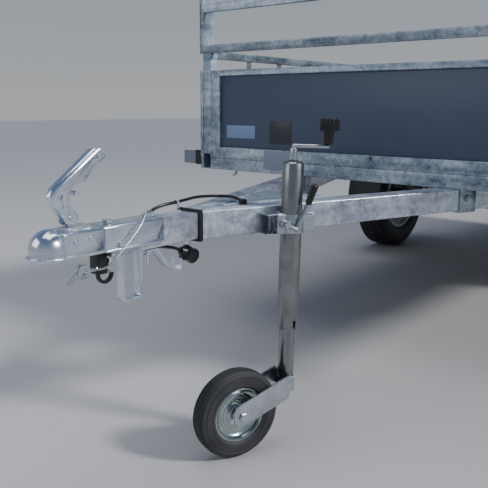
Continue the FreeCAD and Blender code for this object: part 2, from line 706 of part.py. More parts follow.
def front_rack():
    """Open rails between two flat uprights that stand above the corners."""
    top = Z_RAIL + RAIL_HEIGHT
    rails = [block(X_FRONT - RAIL_THICK, X_FRONT, -HALF_WIDTH, HALF_WIDTH, Z_RAIL, top)]
    upright = block(X_FRONT - UPRIGHT_DEPTH, X_FRONT, HALF_WIDTH - RAIL_THICK, HALF_WIDTH, top, Z_RACK_TOP)
    pads = block(X_FRONT - UPRIGHT_DEPTH, X_FRONT - RAIL_THICK, POST_IN, HALF_WIDTH, Z_RAIL, top)
    edge = HALF_WIDTH - RAIL_THICK
    for k in range(RACK_RAILS):
        low = top + RACK_GAP + k * (RACK_GAP + RAIL_HEIGHT)
        rails.append(block(X_FRONT - RAIL_THICK, X_FRONT, -edge, edge, low, low + RAIL_HEIGHT))
    return joined(rails + both_sides(upright) + both_sides(pads))


# Side boards

def side_frame():
    """The left board's galvanised edge: skirt, sill, cap, end and middle posts."""
    front = X_FRONT
    rear = X_SIDE_END
    y0, y1 = BOARD_IN, HALF_WIDTH
    skirt = block(rear, front, y0, y1 - 2, ARM_TOP, Z_SILL)
    sill = block(rear, front, y0, y1, Z_SILL, Z_BOARD)
    cap = block(rear, front, y0, y1, Z_CAP, Z_CAP_TOP)
    pitch = (front - rear - POST_WIDTH) / (MID_POSTS + 1)
    posts = [block(rear + k * pitch, rear + k * pitch + POST_WIDTH, y0, y1, Z_BOARD, Z_CAP)
             for k in range(MID_POSTS + 2)]
    return joined([skirt, sill, cap] + posts)


def side_panels():
    rear = X_SIDE_END
    pitch = (X_FRONT - rear - POST_WIDTH) / (MID_POSTS + 1)
    y0 = BOARD_IN + 2
    panels = [block(rear + k * pitch + POST_WIDTH, rear + (k + 1) * pitch, y0, y0 + PANEL_THICK,
                    Z_BOARD, Z_CAP) for k in range(MID_POSTS + 1)]
    return apart(panels)


def side_rail():
    """The left open rail, on short stubs that stand on the cap."""
    y0, y1 = HALF_WIDTH - RAIL_THICK, HALF_WIDTH
    low = Z_RAIL - SIDE_RAIL_DROP
    front = X_FRONT - UPRIGHT_DEPTH
    rail = block(X_SIDE_END, front, y0, y1, low, low + RAIL_HEIGHT)
    pitch = BED_LENGTH / 6
    places = [264.0, 454.0] + [pitch * k for k in (2, 3, 4)] + [BED_LENGTH - 454.0, BED_LENGTH - 264.0]
    stubs = [block(X_FRONT - x - STUB_WIDTH / 2, X_FRONT - x + STUB_WIDTH / 2, y0 + 4, y1, Z_CAP_TOP,
                   low) for x in places]
    ends = [block(X_SIDE_END, X_SIDE_END + SECTION, y0 + 4, y1, Z_CAP_TOP, low)]
    return joined([rail] + stubs + ends)


# Tailgate and its hinges

def hinge_places():
    return (-HINGE_Y, HINGE_Y)


def gate_frame():
    """The drop-down gate's frame with its open rail and its hinge leaves."""
    edge = BOARD_IN
    x0, x1 = X_REAR, X_GATE_FRONT
    top = Z_RAIL - SIDE_RAIL_DROP
    sill = block(x0, x1, -edge, edge, Z_SILL + GATE_GAP, Z_BOARD)
    cap = block(x0, x1, -edge, edge, Z_CAP, Z_CAP_TOP)
    rail = block(x0, x0 + RAIL_THICK, -edge, edge, top, top + RAIL_HEIGHT)
    post = block(x0, x1, edge - POST_WIDTH, edge, Z_BOARD, Z_CAP)
    stubs = [block(x0, x0 + RAIL_THICK - 4, y, y + POST_WIDTH / 2, Z_CAP_TOP, top)
             for y in (-edge, -POST_WIDTH / 4, edge - POST_WIDTH / 2)]
    frame = [sill, cap, rail] + both_sides(post) + stubs
    for y in hinge_places():
        knuckle = rod(HINGE_PIN + HINGE_WALL, (X_HINGE, y - HINGE_LENGTH / 4, Z_HINGE),
                      (X_HINGE, y + HINGE_LENGTH / 4, Z_HINGE))
        leaf = block(X_HINGE, X_REAR, y - HINGE_LENGTH / 4, y + HINGE_LENGTH / 4,
                     Z_HINGE + 1, Z_HINGE + HINGE_PIN + HINGE_WALL)
        arm = block(X_REAR - 4, X_REAR, y - HINGE_LENGTH / 4, y + HINGE_LENGTH / 4, Z_HINGE + 1, Z_BOARD)
        frame += [knuckle, leaf, arm]
    gate = joined(frame)
    bores = [rod(HINGE_PIN + PIN_CLEAR, (X_HINGE, y - HINGE_LENGTH, Z_HINGE),
                 (X_HINGE, y + HINGE_LENGTH, Z_HINGE)) for y in hinge_places()]
    return cut(gate, bores)


def gate_panel():
    x0 = X_REAR + GATE_THICK / 2
    edge = BOARD_IN - POST_WIDTH
    return block(x0 - PANEL_THICK, x0, -edge, edge, Z_BOARD, Z_CAP)


def gate_hinges():
    """Fixed hinge ears and pins, welded to the rear rail below the gate."""
    solids = []
    for y in hinge_places():
        parts = [rod(HINGE_PIN, (X_HINGE, y - HINGE_LENGTH / 2, Z_HINGE),
                     (X_HINGE, y + HINGE_LENGTH / 2, Z_HINGE))]
        for side in (-1, 1):
            outer = y + side * HINGE_LENGTH / 2
            inner = y + side * (HINGE_LENGTH / 4 + 1)
            low, high = min(outer, inner), max(outer, inner)
            ear = rod(HINGE_PIN + HINGE_WALL, (X_HINGE, low, Z_HINGE), (X_HINGE, high, Z_HINGE))
            neck = block(X_HINGE - HINGE_WALL, X_HINGE + HINGE_WALL, low, high, ARM_TOP + 8, Z_HINGE)
            foot = block(X_HINGE - HINGE_WALL, X_REAR_POST, low, high, ARM_TOP + 8, ARM_TOP + 14)
            parts += [ear, neck, foot]
        solids.append(joined(parts))
    return apart(solids)


def gate_latches():
    """Toggle latches on the rear posts' sides that hold the gate shut."""
    z = Z_CAP - 60
    catches = []
    for side in (-1, 1):
        y = side * (BOARD_IN - POST_WIDTH / 2)
        base = block(X_REAR - 3, X_REAR, y - LATCH_WIDTH / 2, y + LATCH_WIDTH / 2, z, z + 60)
        grip = block(X_REAR - 11, X_REAR - 3, y - 5, y + 5, z + 8, z + 52)
        catches.append(joined([base, grip]))
    return apart(catches)


# Rear lamps

def lamp_bar():
    bar = block(X_REAR + 8, X_REAR + 11, -HALF_WIDTH + 30, HALF_WIDTH - 30, ARM_BOTTOM - 20, ARM_TOP + 6)
    lip = block(X_REAR + 8, X_REAR_POST, -HALF_WIDTH + 30, HALF_WIDTH - 30, ARM_TOP + 3, ARM_TOP + 6)
    gap = block(X_REAR_POST - 40, X_REAR_POST + 1, -HALF_WIDTH, HALF_WIDTH, ARM_TOP - 1, ARM_TOP + 3)
    lip = lip.cut(gap)
    return joined([bar, lip])


def rear_lamps():
    """Rear lamp bodies under the gate's hinge line."""
    lamp = block(X_REAR - 12, X_REAR + 8, HALF_WIDTH - 234, HALF_WIDTH - 34, ARM_BOTTOM - 10, ARM_TOP - 4)
    edges = [edge for edge in lamp.Edges if edge.BoundBox.XMax < X_REAR - 11]
    return apart(both_sides(lamp.makeFillet(5, edges)))


def front_markers():
    """White corner lamps on black bases, beside the front corners."""
    low = ARM_TOP + MARKER_LOW
    high = ARM_TOP + MARKER_HIGH
    front = X_FRONT - 2
    base = HALF_WIDTH + MARKER_BASE
    solid = block(front - 26, front, HALF_WIDTH, base, low - 2, high + 2)
    lens = block(front - 24, front - 2, base, base + MARKER_LENS, low, high)
    edges = [edge for edge in lens.Edges if edge.BoundBox.YMin > base + MARKER_LENS - 1]
    return solid, lens.makeFillet(6, edges)


# Running gear

def axle_beam():
    half = SPRING_Y + SPRING_WIDTH / 2 + 12
    beam = tube_between(X_AXLE - AXLE_SIDE / 2, X_AXLE + AXLE_SIDE / 2, -half, half,
                        WHEEL_RADIUS - AXLE_SIDE / 2, WHEEL_RADIUS + AXLE_SIDE / 2, 5, "y")
    ends = []
    for side in (-1, 1):
        ends.append(rod(SPINDLE + 8, (X_AXLE, side * (half - 20), WHEEL_RADIUS),
                        (X_AXLE, side * (half + 8), WHEEL_RADIUS)))
        ends.append(rod(SPINDLE, (X_AXLE, side * half, WHEEL_RADIUS),
                        (X_AXLE, side * (WHEEL_Y - 6), WHEEL_RADIUS)))
    return joined([beam] + ends)


def spring_arc(rise, x_half, low):
    """One leaf: a strip bent upwards towards its ends."""
    top = low + SPRING_LEAF
    ends = low + rise
    lower = Part.Arc(V(X_AXLE - x_half, 0, ends), V(X_AXLE, 0, low), V(X_AXLE + x_half, 0, ends)).toShape()
    upper = Part.Arc(V(X_AXLE + x_half, 0, ends + SPRING_LEAF), V(X_AXLE, 0, top),
                     V(X_AXLE - x_half, 0, ends + SPRING_LEAF)).toShape()
    sides = [Part.makeLine(V(X_AXLE + x_half, 0, ends), V(X_AXLE + x_half, 0, ends + SPRING_LEAF)),
             Part.makeLine(V(X_AXLE - x_half, 0, ends + SPRING_LEAF), V(X_AXLE - x_half, 0, ends))]
    face = Part.Face(Part.Wire([lower, sides[0], upper, sides[1]]))
    return face.extrude(V(0, SPRING_WIDTH, 0))


def leaf_spring():
    """The left leaf pack with rolled eyes, standing on the axle beam."""
    base = WHEEL_RADIUS + AXLE_SIDE / 2 + SEAT_THICK
    leaves = []
    for k in range(SPRING_LEAVES):
        share = 1 - 0.2 * (SPRING_LEAVES - 1 - k)
        x_half = SPRING_HALF_SPAN * share
        low = base + k * SPRING_LEAF
        leaves.append(spring_arc(SPRING_CAMBER * share ** 2, x_half, low))
    top = base + (SPRING_LEAVES - 1) * SPRING_LEAF + SPRING_CAMBER
    for side in (-1, 1):
        x = X_AXLE + side * (SPRING_HALF_SPAN + EYE_OUTER - 5)
        eye_z = top + SPRING_LEAF - 3
        leaves.append(rod(EYE_OUTER, (x, 0, eye_z), (x, SPRING_WIDTH, eye_z)))
    pack = joined(leaves)
    pack.translate(V(0, SPRING_Y - SPRING_WIDTH / 2, 0))
    seat = block(X_AXLE - 45, X_AXLE + 45, SPRING_Y - SPRING_WIDTH / 2, SPRING_Y + SPRING_WIDTH / 2,
                 base - SEAT_THICK, base + 1)
    pins = []
    for side in (-1, 1):
        x = X_AXLE + side * (SPRING_HALF_SPAN + EYE_OUTER - 5)
        z = top + SPRING_LEAF - 3
        pins.append(rod(8, (x, SPRING_Y - SPRING_WIDTH, z), (x, SPRING_Y + SPRING_WIDTH, z)))
    return joined([pack, seat] + pins)


def eye_height():
    base = WHEEL_RADIUS + AXLE_SIDE / 2 + SEAT_THICK
    return base + (SPRING_LEAVES - 1) * SPRING_LEAF + SPRING_CAMBER + SPRING_LEAF - 3


def spring_hangers():
    """Cheek plates under the left beam that hold the spring's two eyes."""
    solids = []
    z = eye_height()
    y_in = SPRING_Y - SPRING_WIDTH / 2 - 1
    y_out = SPRING_Y + SPRING_WIDTH / 2 + 1
    for side in (-1, 1):
        x = X_AXLE + side * (SPRING_HALF_SPAN + EYE_OUTER - 5)
        outline = [(x - 45, ARM_BOTTOM), (x + 45, ARM_BOTTOM), (x + 20, z - 20), (x - 20, z - 20)]
        cheeks = [prism([(px, y, pz) for px, pz in outline], (0, 5, 0)) for y in (y_in - 5, y_out)]
        top = block(x - 45, x + 45, y_in - 5, y_out + 5, ARM_BOTTOM - 5, ARM_BOTTOM)
        hanger = joined(cheeks + [top])
        solids.append(cut(hanger, [rod(8, (x, y_in - 20, z), (x, y_out + 20, z))]))
    return apart(solids)


def spring_clamps():
    """U-bolts over the left leaf pack and the plate under the axle."""
    base = WHEEL_RADIUS - AXLE_SIDE / 2
    top = WHEEL_RADIUS + AXLE_SIDE / 2 + SEAT_THICK + SPRING_LEAVES * SPRING_LEAF + 1
    half = SPRING_WIDTH / 2 + 5
    bolts = []
    for dx in (-34, 34):
        x = X_AXLE + dx
        legs = [rod(5, (x, SPRING_Y + side * half, base - 22), (x, SPRING_Y + side * half, top + 5))
                for side in (-1, 1)]
        bar = rod(5, (x, SPRING_Y - half, top + 5), (x, SPRING_Y + half, top + 5))
        bolts += legs + [bar]
    plate = block(X_AXLE - 46, X_AXLE + 46, SPRING_Y - half - 12, SPRING_Y + half + 12, base - 8, base)
    return joined(bolts + [plate])


def mirrored_profile(corners):
    return [(-y, radius) for y, radius in reversed(corners)]


def tyre():
    """The left tyre: a hollow carcass with rounded shoulders, open at the beads."""
    half = TYRE_WIDTH / 2
    bead = half - BEAD_INSET
    seat = RIM_OUTER / 2 + 0.2
    middle = (WHEEL_RADIUS + seat) / 2
    wall = TYRE_WALL
    outside = [(bead, seat), (bead, seat + 11), (half - 8, seat + 18), (half, middle),
               (half - 4, WHEEL_RADIUS - 22), (half - 16, WHEEL_RADIUS - 5), (half - 34, WHEEL_RADIUS)]
    inside = [(half - 34, WHEEL_RADIUS - wall), (half - 20, WHEEL_RADIUS - 20), (half - wall, middle),
              (bead - wall, seat + 12), (bead - wall, seat)]
    profile = outside + mirrored_profile(outside)
    profile += mirrored_profile(inside) + inside
    return turned(profile, (X_AXLE, WHEEL_Y, WHEEL_RADIUS))


def rim():
    """The left pressed rim: a dropped well with bead seats, and a dished disc with vent holes."""
    bead = TYRE_WIDTH / 2 - BEAD_INSET
    seat = RIM_OUTER / 2
    well = seat - 26
    profile = [(-bead - 4, seat + 10), (-bead - 4, seat - 3), (-bead + 14, seat - 3),
               (-bead + 34, well - 3), (bead - 40, well - 3), (bead - 20, seat - 3), (bead + 4, seat - 3),
               (bead + 4, seat + 10), (bead, seat + 10), (bead, seat), (bead - 18, seat),
               (bead - 38, well), (-bead + 32, well), (-bead + 12, seat), (-bead, seat),
               (-bead, seat + 10)]
    centre = (X_AXLE, WHEEL_Y, WHEEL_RADIUS)
    barrel = turned(profile, centre)
    flat = -DISC_OFFSET
    crown = DISC_OFFSET
    front = [(flat, 34), (flat, 72), (crown, 94), (crown, 114), (flat + 4, well - 2)]
    back = [(y + DISC_THICK, radius) for y, radius in reversed(front)]
    disc = turned(front + back, centre)
    holes = [rod(9, *across_wheel(118, 360 / VENT_HOLES * (k + 0.5), -60, 60)) for k in range(VENT_HOLES)]
    holes += [rod(BOLT_RADIUS + BOLT_CLEAR, *across_wheel(BOLT_CIRCLE, bolt_angle(k), -60, 60))
              for k in range(WHEEL_BOLTS)]
    return joined([barrel, disc.cut(holes)])


def bolt_angle(k):
    return 360 / WHEEL_BOLTS * (k + 0.5)


def across_wheel(radius, angle, inner, outer):
    """Both ends of a line that runs along Y through the left wheel."""
    x = X_AXLE + radius * math.cos(math.radians(angle))
    z = WHEEL_RADIUS + radius * math.sin(math.radians(angle))
    return (x, WHEEL_Y + inner, z), (x, WHEEL_Y + outer, z)


def hub():
    """The left hub: flange, bearing barrel, dust cap and wheel bolts."""
    face = -DISC_OFFSET
    start = SPRING_Y + SPRING_WIDTH / 2 + 21 - WHEEL_Y
    bore = SPINDLE + PIN_CLEAR
    profile = [(start, bore), (start, 40), (face - 12, 40), (face - 12, 66), (face, 66), (face, 33.5),
               (face + 30, 33.5), (face + 38, 26), (face + 38, 0), (-5, 0), (-5, bore)]
    barrel = turned(profile, (X_AXLE, WHEEL_Y, WHEEL_RADIUS))
    bolts = []
    for k in range(WHEEL_BOLTS):
        start_at, end_at = across_wheel(BOLT_CIRCLE, bolt_angle(k), face - 5, face + DISC_THICK + 2)
        bolts.append(rod(BOLT_RADIUS, start_at, end_at))
        seat = across_wheel(BOLT_CIRCLE, bolt_angle(k), face + DISC_THICK, 0)[0]
        bolts.append(hexagon(17, 14, seat, (0, 1, 0)))
    return joined([barrel] + bolts)


def mudguard():
    """The left guard: an arched channel with lips, and a flat inner flange on the bed's side."""
    radius = WHEEL_RADIUS + GUARD_GAP
    inner = HALF_WIDTH + 5
    outer = WHEEL_Y + TYRE_WIDTH / 2 + GUARD_OVERLAP
    centre = (X_AXLE, 0, WHEEL_RADIUS)
    profile = [(inner, radius), (inner, radius - 16), (inner + 3, radius - 16), (inner + 3, radius),
               (outer - 3, radius), (outer - 3, radius - 26), (outer, radius - 26), (outer, radius),
               (outer - 12, radius + GUARD_WALL), (inner, radius + GUARD_WALL)]
    shell = turned(profile, centre)
    keep = block(X_AXLE - 400, X_AXLE + 400, 0, outer + 1, WHEEL_RADIUS - 10, WHEEL_RADIUS + 400)
    return shell.common(keep)


def guard_stays():
    """Steel straps that carry the left guard from the runner."""
    radius = WHEEL_RADIUS + GUARD_GAP + GUARD_WALL
    outer = WHEEL_Y + TYRE_WIDTH / 2 - 10
    centre = V(X_AXLE, 0, WHEEL_RADIUS)
    stays = []
    for side in (-1, 1):
        strap = block(X_AXLE - 15, X_AXLE + 15, BEAM_OUTER, outer, WHEEL_RADIUS + radius,
                      WHEEL_RADIUS + radius + 4)
        strap.rotate(centre, V(0, 1, 0), side * STAY_ANGLE)
        lean = math.radians(STAY_ANGLE)
        x = X_AXLE + side * (radius + 2) * math.sin(lean)
        z = WHEEL_RADIUS + (radius + 2) * math.cos(lean)
        drop = block(x - 15, x + 15, BEAM_OUTER, BEAM_OUTER + 5, z, ARM_TOP)
        stays.append(joined([strap, drop]))
    top = block(X_AXLE - 20, X_AXLE + 20, HALF_WIDTH, outer, WHEEL_RADIUS + radius,
                WHEEL_RADIUS + radius + 5)
    return apart(stays + [top])


# Jockey wheel, modelled about its own tube: U forwards along the arm, W outwards from it

JOCKEY_X = X_NOSE - JOCKEY_ALONG * ARM_COS + JOCKEY_OUT * ARM_SIN
JOCKEY_Y = NOSE_HALF_WIDTH + JOCKEY_ALONG * ARM_SIN + JOCKEY_OUT * ARM_COS


def at_jockey(shape):
    """Leans a piece forwards at its foot, about the clamp, and puts it beside the arm."""
    shape.rotate(V(0, 0, LEAN_Z), V(0, 1, 0), -JOCKEY_LEAN)
    return placed(shape, JOCKEY_X, JOCKEY_Y, 0, -ARM_HALF_ANGLE)


def ring(outer, inner, low, high):
    return Part.makeCylinder(outer, high - low, V(0, 0, low)).cut(
        Part.makeCylinder(inner, high - low + 2, V(0, 0, low - 1)))


def jockey_clamp():
    """The fixed half: a cradle on the arm's face, open as a channel ahead of the tube."""
    gap = OUTER_TUBE + SLIDE_CLEAR
    face = -JOCKEY_OUT
    front = CLAMP_FRONT
    plate = block(-88, front, face, face + CLAMP_WALL, CLAMP_BOTTOM, CLAMP_TOP)
    cradle = ring(gap + CLAMP_WALL, gap, CLAMP_BOTTOM, CLAMP_TOP)
    cradle = cradle.common(block(-40, 40, -40, -6, CLAMP_BOTTOM, CLAMP_TOP))
    plate = plate.cut(block(-90, -30, face - 1, 0, CLAMP_TOP - 9, CLAMP_TOP + 1))
    shelves = [block(gap + CLAMP_WALL, front, face, CLAMP_LIP, z, z + 3)
               for z in (CLAMP_BOTTOM, CLAMP_TOP - 3)]
    web = block(-40, 40, face, -gap + 2, CLAMP_BOTTOM, CLAMP_TOP)
    bore = Part.makeCylinder(gap, 4 * CLAMP_HEIGHT, V(0, 0, CLAMP_BOTTOM - CLAMP_HEIGHT))
    return at_jockey(cut(joined([plate, cradle, web] + shelves), [bore]))


def jockey_band():
    """The outer half: a band round the tube with a wing that runs back along the arm."""
    gap = OUTER_TUBE + SLIDE_CLEAR
    outer = gap + CLAMP_WALL
    band = ring(outer, gap, CLAMP_BOTTOM + 2, CLAMP_TOP - 2)
    band = band.common(block(-40, 40, -5, 40, CLAMP_BOTTOM, CLAMP_TOP))
    wing = block(-64, -gap, -5, -1, CLAMP_BOTTOM + 2, CLAMP_TOP - 9)
    back = block(-64, -60, -JOCKEY_OUT + CLAMP_WALL, -1, CLAMP_BOTTOM + 2, CLAMP_TOP - 9)
    ear = block(gap + 1, BOSS_AHEAD + 14, CLAMP_LIP + 0.5, CLAMP_LIP + 4.5, CLAMP_BOTTOM + 2, CLAMP_TOP - 2)
    ear = ear.cut(Part.makeCylinder(gap, 2 * CLAMP_HEIGHT, V(0, 0, CLAMP_BOTTOM)))
    z = CLAMP_BOTTOM + BOSS_UP
    boss = rod(8.5, (BOSS_AHEAD, CLAMP_LIP + 4, z), (BOSS_AHEAD, CLAMP_LIP + 4 + BOSS, z))
    return at_jockey(joined([band, wing, back, ear, boss]))


def clamp_lever():
    """A cranked rod with a black grip that tightens the clamp."""
    face = CLAMP_LIP + 4 + BOSS
    z = CLAMP_BOTTOM + BOSS_UP
    elbow, neck, tip = [V(ahead, face + out, CLAMP_BOTTOM + up) for ahead, out, up in LEVER_BENDS]
    eye = rod(6.5, (BOSS_AHEAD, face, z), (BOSS_AHEAD, face + 11, z))
    arm = rod(LEVER_ROD, (BOSS_AHEAD, face + 6, z), elbow)
    handle = joined([eye, arm, Part.makeSphere(LEVER_ROD, elbow), rod(LEVER_ROD, elbow, neck)])
    along = tip - neck
    grip = joined([Part.makeCone(GRIP - 2, GRIP, along.Length, neck, along), Part.makeSphere(GRIP, tip)])
    handle = handle.cut(grip)
    return at_jockey(handle), at_jockey(grip)


def jockey_outer():
    """The fixed outer tube with its rolled cap shoulder and its notched foot."""
    tube = ring(OUTER_TUBE, INNER_CLEAR, TUBE_BOTTOM, TUBE_TOP)
    cap = Part.makeCylinder(OUTER_TUBE, 4, V(0, 0, TUBE_TOP))
    dome = Part.makeCone(OUTER_TUBE - 1, OUTER_TUBE - 5, 4, V(0, 0, TUBE_TOP + 4))
    notch = block(-7, 7, 4, 40, TUBE_BOTTOM - 1, TUBE_BOTTOM + 22)
    return at_jockey(cut(joined([tube, cap, dome]), [notch]))


def knob_place():
    """The end of the crank's arm, in the jockey wheel's own directions."""
    turn = math.radians(CRANK_ANGLE)
    return (CRANK_ARM * math.cos(turn), CRANK_ARM * math.sin(turn), TUBE_TOP + 8 + CRANK_RISE)


def jockey_crank():
    """The spindle's head, the crank arm and the upright stem of the knob."""
    top = TUBE_TOP + 8
    hinge = (0, 0, top + CRANK_RISE)
    end = knob_place()
    sleeve = rod(8.5, (0, 0, top), (0, 0, top + CRANK_RISE - 6))
    arm = rod(CRANK_ROD, (0, 0, top + CRANK_RISE - 8), hinge)
    bar = joined([arm, Part.makeSphere(CRANK_ROD, V(*hinge)), rod(CRANK_ROD, hinge, end),
                  Part.makeSphere(CRANK_ROD, V(*end))])
    return at_jockey(joined([sleeve, bar]))


def jockey_knob():
    """The star knob on its tapered stem."""
    x, y, z = knob_place()
    low = z + CRANK_ROD
    stem = Part.makeCone(10, 13, 30, V(x, y, low))
    star = Part.makeCylinder(KNOB_RADIUS - 5, 26, V(x, y, low + 30))
    lobes = []
    for k in range(KNOB_LOBES):
        turn = math.tau * k / KNOB_LOBES
        reach = KNOB_RADIUS - 7
        corner = V(x + reach * math.cos(turn), y + reach * math.sin(turn), low + 30)
        lobes.append(Part.makeCylinder(7, 26, corner))
    return at_jockey(joined([stem, star] + lobes))


def jockey_nut():
    """The spindle nut and guide ring that ride inside the outer tube."""
    return at_jockey(ring(INNER_CLEAR - SLIDE_CLEAR, 8, INNER_TOP + 0.3, INNER_TOP + 26))


def jockey_inner():
    """The inner tube with its two fork cheeks and the wheel's axle."""
    tube = ring(INNER_TUBE, INNER_TUBE - TUBE_WALL, INNER_BOTTOM, INNER_TOP)
    outline = [(ahead, 0, AXLE_Z + up) for ahead, up in FORK]
    rear = FORK[0][0]
    top = AXLE_Z + FORK[0][1]
    out = CHEEK_INSIDE + CHEEK_THICK
    cheeks = [placed(prism(outline, (0, CHEEK_THICK, 0)), y=y) for y in (-out, CHEEK_INSIDE)]
    bridge = block(rear - 10, rear + 2, -out, out, top - 40, top - 6)
    axle = rod(FORK_PIN, (TRAIL, -out - 5, AXLE_Z), (TRAIL, out + 5, AXLE_Z))
    nuts = [hexagon(19, 6, (TRAIL, side * out, AXLE_Z), (0, side, 0)) for side in (-1, 1)]
    return at_jockey(joined([tube, bridge, axle] + cheeks + nuts))


def jockey_tyre():
    half = JOCKEY_TYRE / 2
    radius = JOCKEY_WHEEL / 2
    side = [(half - 13, radius), (half - 5, radius - 3), (half, radius - 12), (half, JOCKEY_RIM + 6),
            (half - 4, JOCKEY_RIM)]
    profile = [(-along, out) for along, out in reversed(side)] + side
    return at_jockey(turned(profile, (TRAIL, 0, AXLE_Z)))


def jockey_rim():
    """Two pressed half discs that meet at the middle, round a hub tube."""
    half = JOCKEY_TYRE / 2 - 4
    bore = FORK_PIN + PIN_CLEAR
    hub_end = CHEEK_INSIDE - 1.5
    profile = [(-hub_end, bore), (-hub_end, 11), (-14, 15), (-5, 30), (-5, 46), (-half, JOCKEY_RIM - 5),
               (-half, JOCKEY_RIM), (half, JOCKEY_RIM), (half, JOCKEY_RIM - 5), (5, 46), (5, 30), (14, 15),
               (hub_end, 11), (hub_end, bore)]
    return at_jockey(turned(profile, (TRAIL, 0, AXLE_Z)))


# Lead, plug and breakaway cable: points chosen by hand, measured from the nose

LEAD_ROUTE = [(-145, 18, 7), (-154, 0, 8), (-162, -20, 10), (-158, -42, 11), (-136, -56, 12),
              (-104, -60, 14), (-70, -54, 16), (-38, -42, 17), (-6, -32, 17), (26, -28, 16),
              (54, -31, 14), (78, -37, 7), (94, -44, -8), (99, -50, -31), (98, -48, -52),
              (90, -38, -68), (74, -18, -71), (54, 0, -73), (36, 0, -82)]
WIRE_ROUTE = [(115, 0, 11), (134, 11, 15), (152, 26, 16), (168, 37, 6), (190, 41, -14),
              (216, 42.5, -36), (240, 42.5, -54), (255, 41, -68), (268, 32, -75), (275.3, 22.5, -75.6)]


def lead():
    return swept(nose(LEAD_ROUTE), LEAD_RADIUS, "lead")


def lead_gland():
    """The rubber boot on the arm where the lead goes inside, square to the lead's first run."""
    start, after = nose(LEAD_ROUTE[:2])
    turn = math.degrees(math.atan2(start[0] - after[0], start[1] - after[1]))
    boot = block(-8, 8, 0.2, 15, 0, 11.5)
    edges = [edge for edge in boot.Edges if edge.BoundBox.ZMin > 11 or edge.BoundBox.ZLength > 5]
    return placed(boot.makeFillet(3.5, edges), start[0], start[1], ARM_TOP, -turn)


def lead_clip():
    """A steel clip that lifts the lead off the nose tube."""
    x, y, z = X_NOSE + 16, -29.3, ARM_TOP + 16.3
    ring_part = ring(LEAD_RADIUS + 2.6, LEAD_RADIUS + 0.6, -3, 3)
    ring_part.rotate(V(0, 0, 0), V(0, 1, 0), 90)
    ring_part.translate(V(x, y, z))
    post = block(x - 3, x + 3, y + 2, y + 5, NOSE_TOP, z - LEAD_RADIUS - 1.2)
    foot = block(x - 3, x + 3, y + 2, y + 14, NOSE_TOP, NOSE_TOP + 2)
    return joined([ring_part, post, foot])


def plug():
    """The plug that hangs under the nose, with a tapered tail, a collar and a rounded cover."""
    r = PLUG_RADIUS
    before, end = nose(LEAD_ROUTE)[-2:]
    profile = [(0, 0), (0, 0.45 * r), (10, 0.7 * r), (14, r), (22, r), (23, 0.92 * r), (38, 0.92 * r),
               (39, r), (43, r), (45, 0.8 * r), (45, 0)]
    return turned(profile, end, V(*end) - V(*before))


def breakaway_wire():
    return swept(nose(WIRE_ROUTE), WIRE_RADIUS, "breakaway wire")


def save(name, shape):
    solids = shape.Solids
    good = all(solid.isValid() for solid in solids)
    print(name, "solids", len(solids), "volume", round(shape.Volume), "" if good else "NOT VALID")
    shape.exportStep("parts/" + name + ".step")


def main():
    os.makedirs("parts", exist_ok=True)
    marker_base, marker_lens = front_markers()
    clamp_rod, clamp_grip = clamp_lever()
    # Pieces of which the trailer has a left and a right one, each a sub-part of its own
    handed = [("drawbar_arm", drawbar_arm()), ("tyre", tyre()), ("rim", rim()), ("hub", hub())]
    for name, shape in handed:
        save(name + "_left", shape)
        save(name + "_right", mirrored(shape))
    # Pieces that come in pairs and share a sub-part
    pairs = [("arm_brackets", arm_bracket()), ("runners", runner()), ("under_beams", under_beam()),
             ("side_frames", side_frame()), ("side_panels", side_panels()), ("side_rails", side_rail()),
             ("leaf_springs", leaf_spring()), ("spring_hangers", spring_hangers()),
             ("spring_clamps", spring_clamps()), ("mudguards", mudguard()),
             ("guard_stays", guard_stays()), ("marker_bases", marker_base),
             ("marker_lenses", marker_lens)]
    for name, shape in pairs:
        save(name, apart(both_sides(shape)))
    singles = [("nose_tube", nose_tube()), ("nose_band", nose_band()), ("nose_gusset", nose_gusset()),
               ("coupling_head", coupling_head()), ("coupling_studs", coupling_studs()),
               ("breakaway_anchor", breakaway_anchor()), ("stirrup", stirrup()),
               ("coupling_lever", lever()), ("plug_holder", plug_holder()),
               ("cable_hook", cable_hook()),
               ("cross_rails", cross_rails()), ("floor_board", floor_board()),
               ("corner_posts", corner_posts()), ("front_frame", front_frame()),
               ("front_panel", front_panel()), ("front_rack", front_rack()),
               ("gate_frame", gate_frame()), ("gate_panel", gate_panel()),
               ("gate_hinges", gate_hinges()), ("gate_latches", gate_latches()),
               ("lamp_bar", lamp_bar()), ("rear_lamps", rear_lamps()), ("axle_beam", axle_beam()),
               ("jockey_clamp", jockey_clamp()), ("jockey_band", jockey_band()),
               ("clamp_lever", clamp_rod), ("clamp_grip", clamp_grip),
               ("jockey_outer", jockey_outer()), ("jockey_crank", jockey_crank()),
               ("jockey_knob", jockey_knob()), ("jockey_nut", jockey_nut()),
               ("jockey_inner", jockey_inner()), ("jockey_tyre", jockey_tyre()),
               ("jockey_rim", jockey_rim()), ("lead", lead()), ("lead_gland", lead_gland()),
               ("lead_clip", lead_clip()), ("plug", plug()), ("breakaway_wire", breakaway_wire())]
    for name, shape in singles:
        save(name, shape)


main()
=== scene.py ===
# %% [markdown]
# A galvanised utility trailer, dressed for the studio. The CAD model gives every rigid piece
# its place and size, so this script only adds what the solids leave out: finishes, soft edges,
# tyre tread, weld beads, a bolt, a washer and blank plates. The two cords are drawn as curves.

import json
import math

import bmesh
import bpy
from mathutils import Matrix, Vector

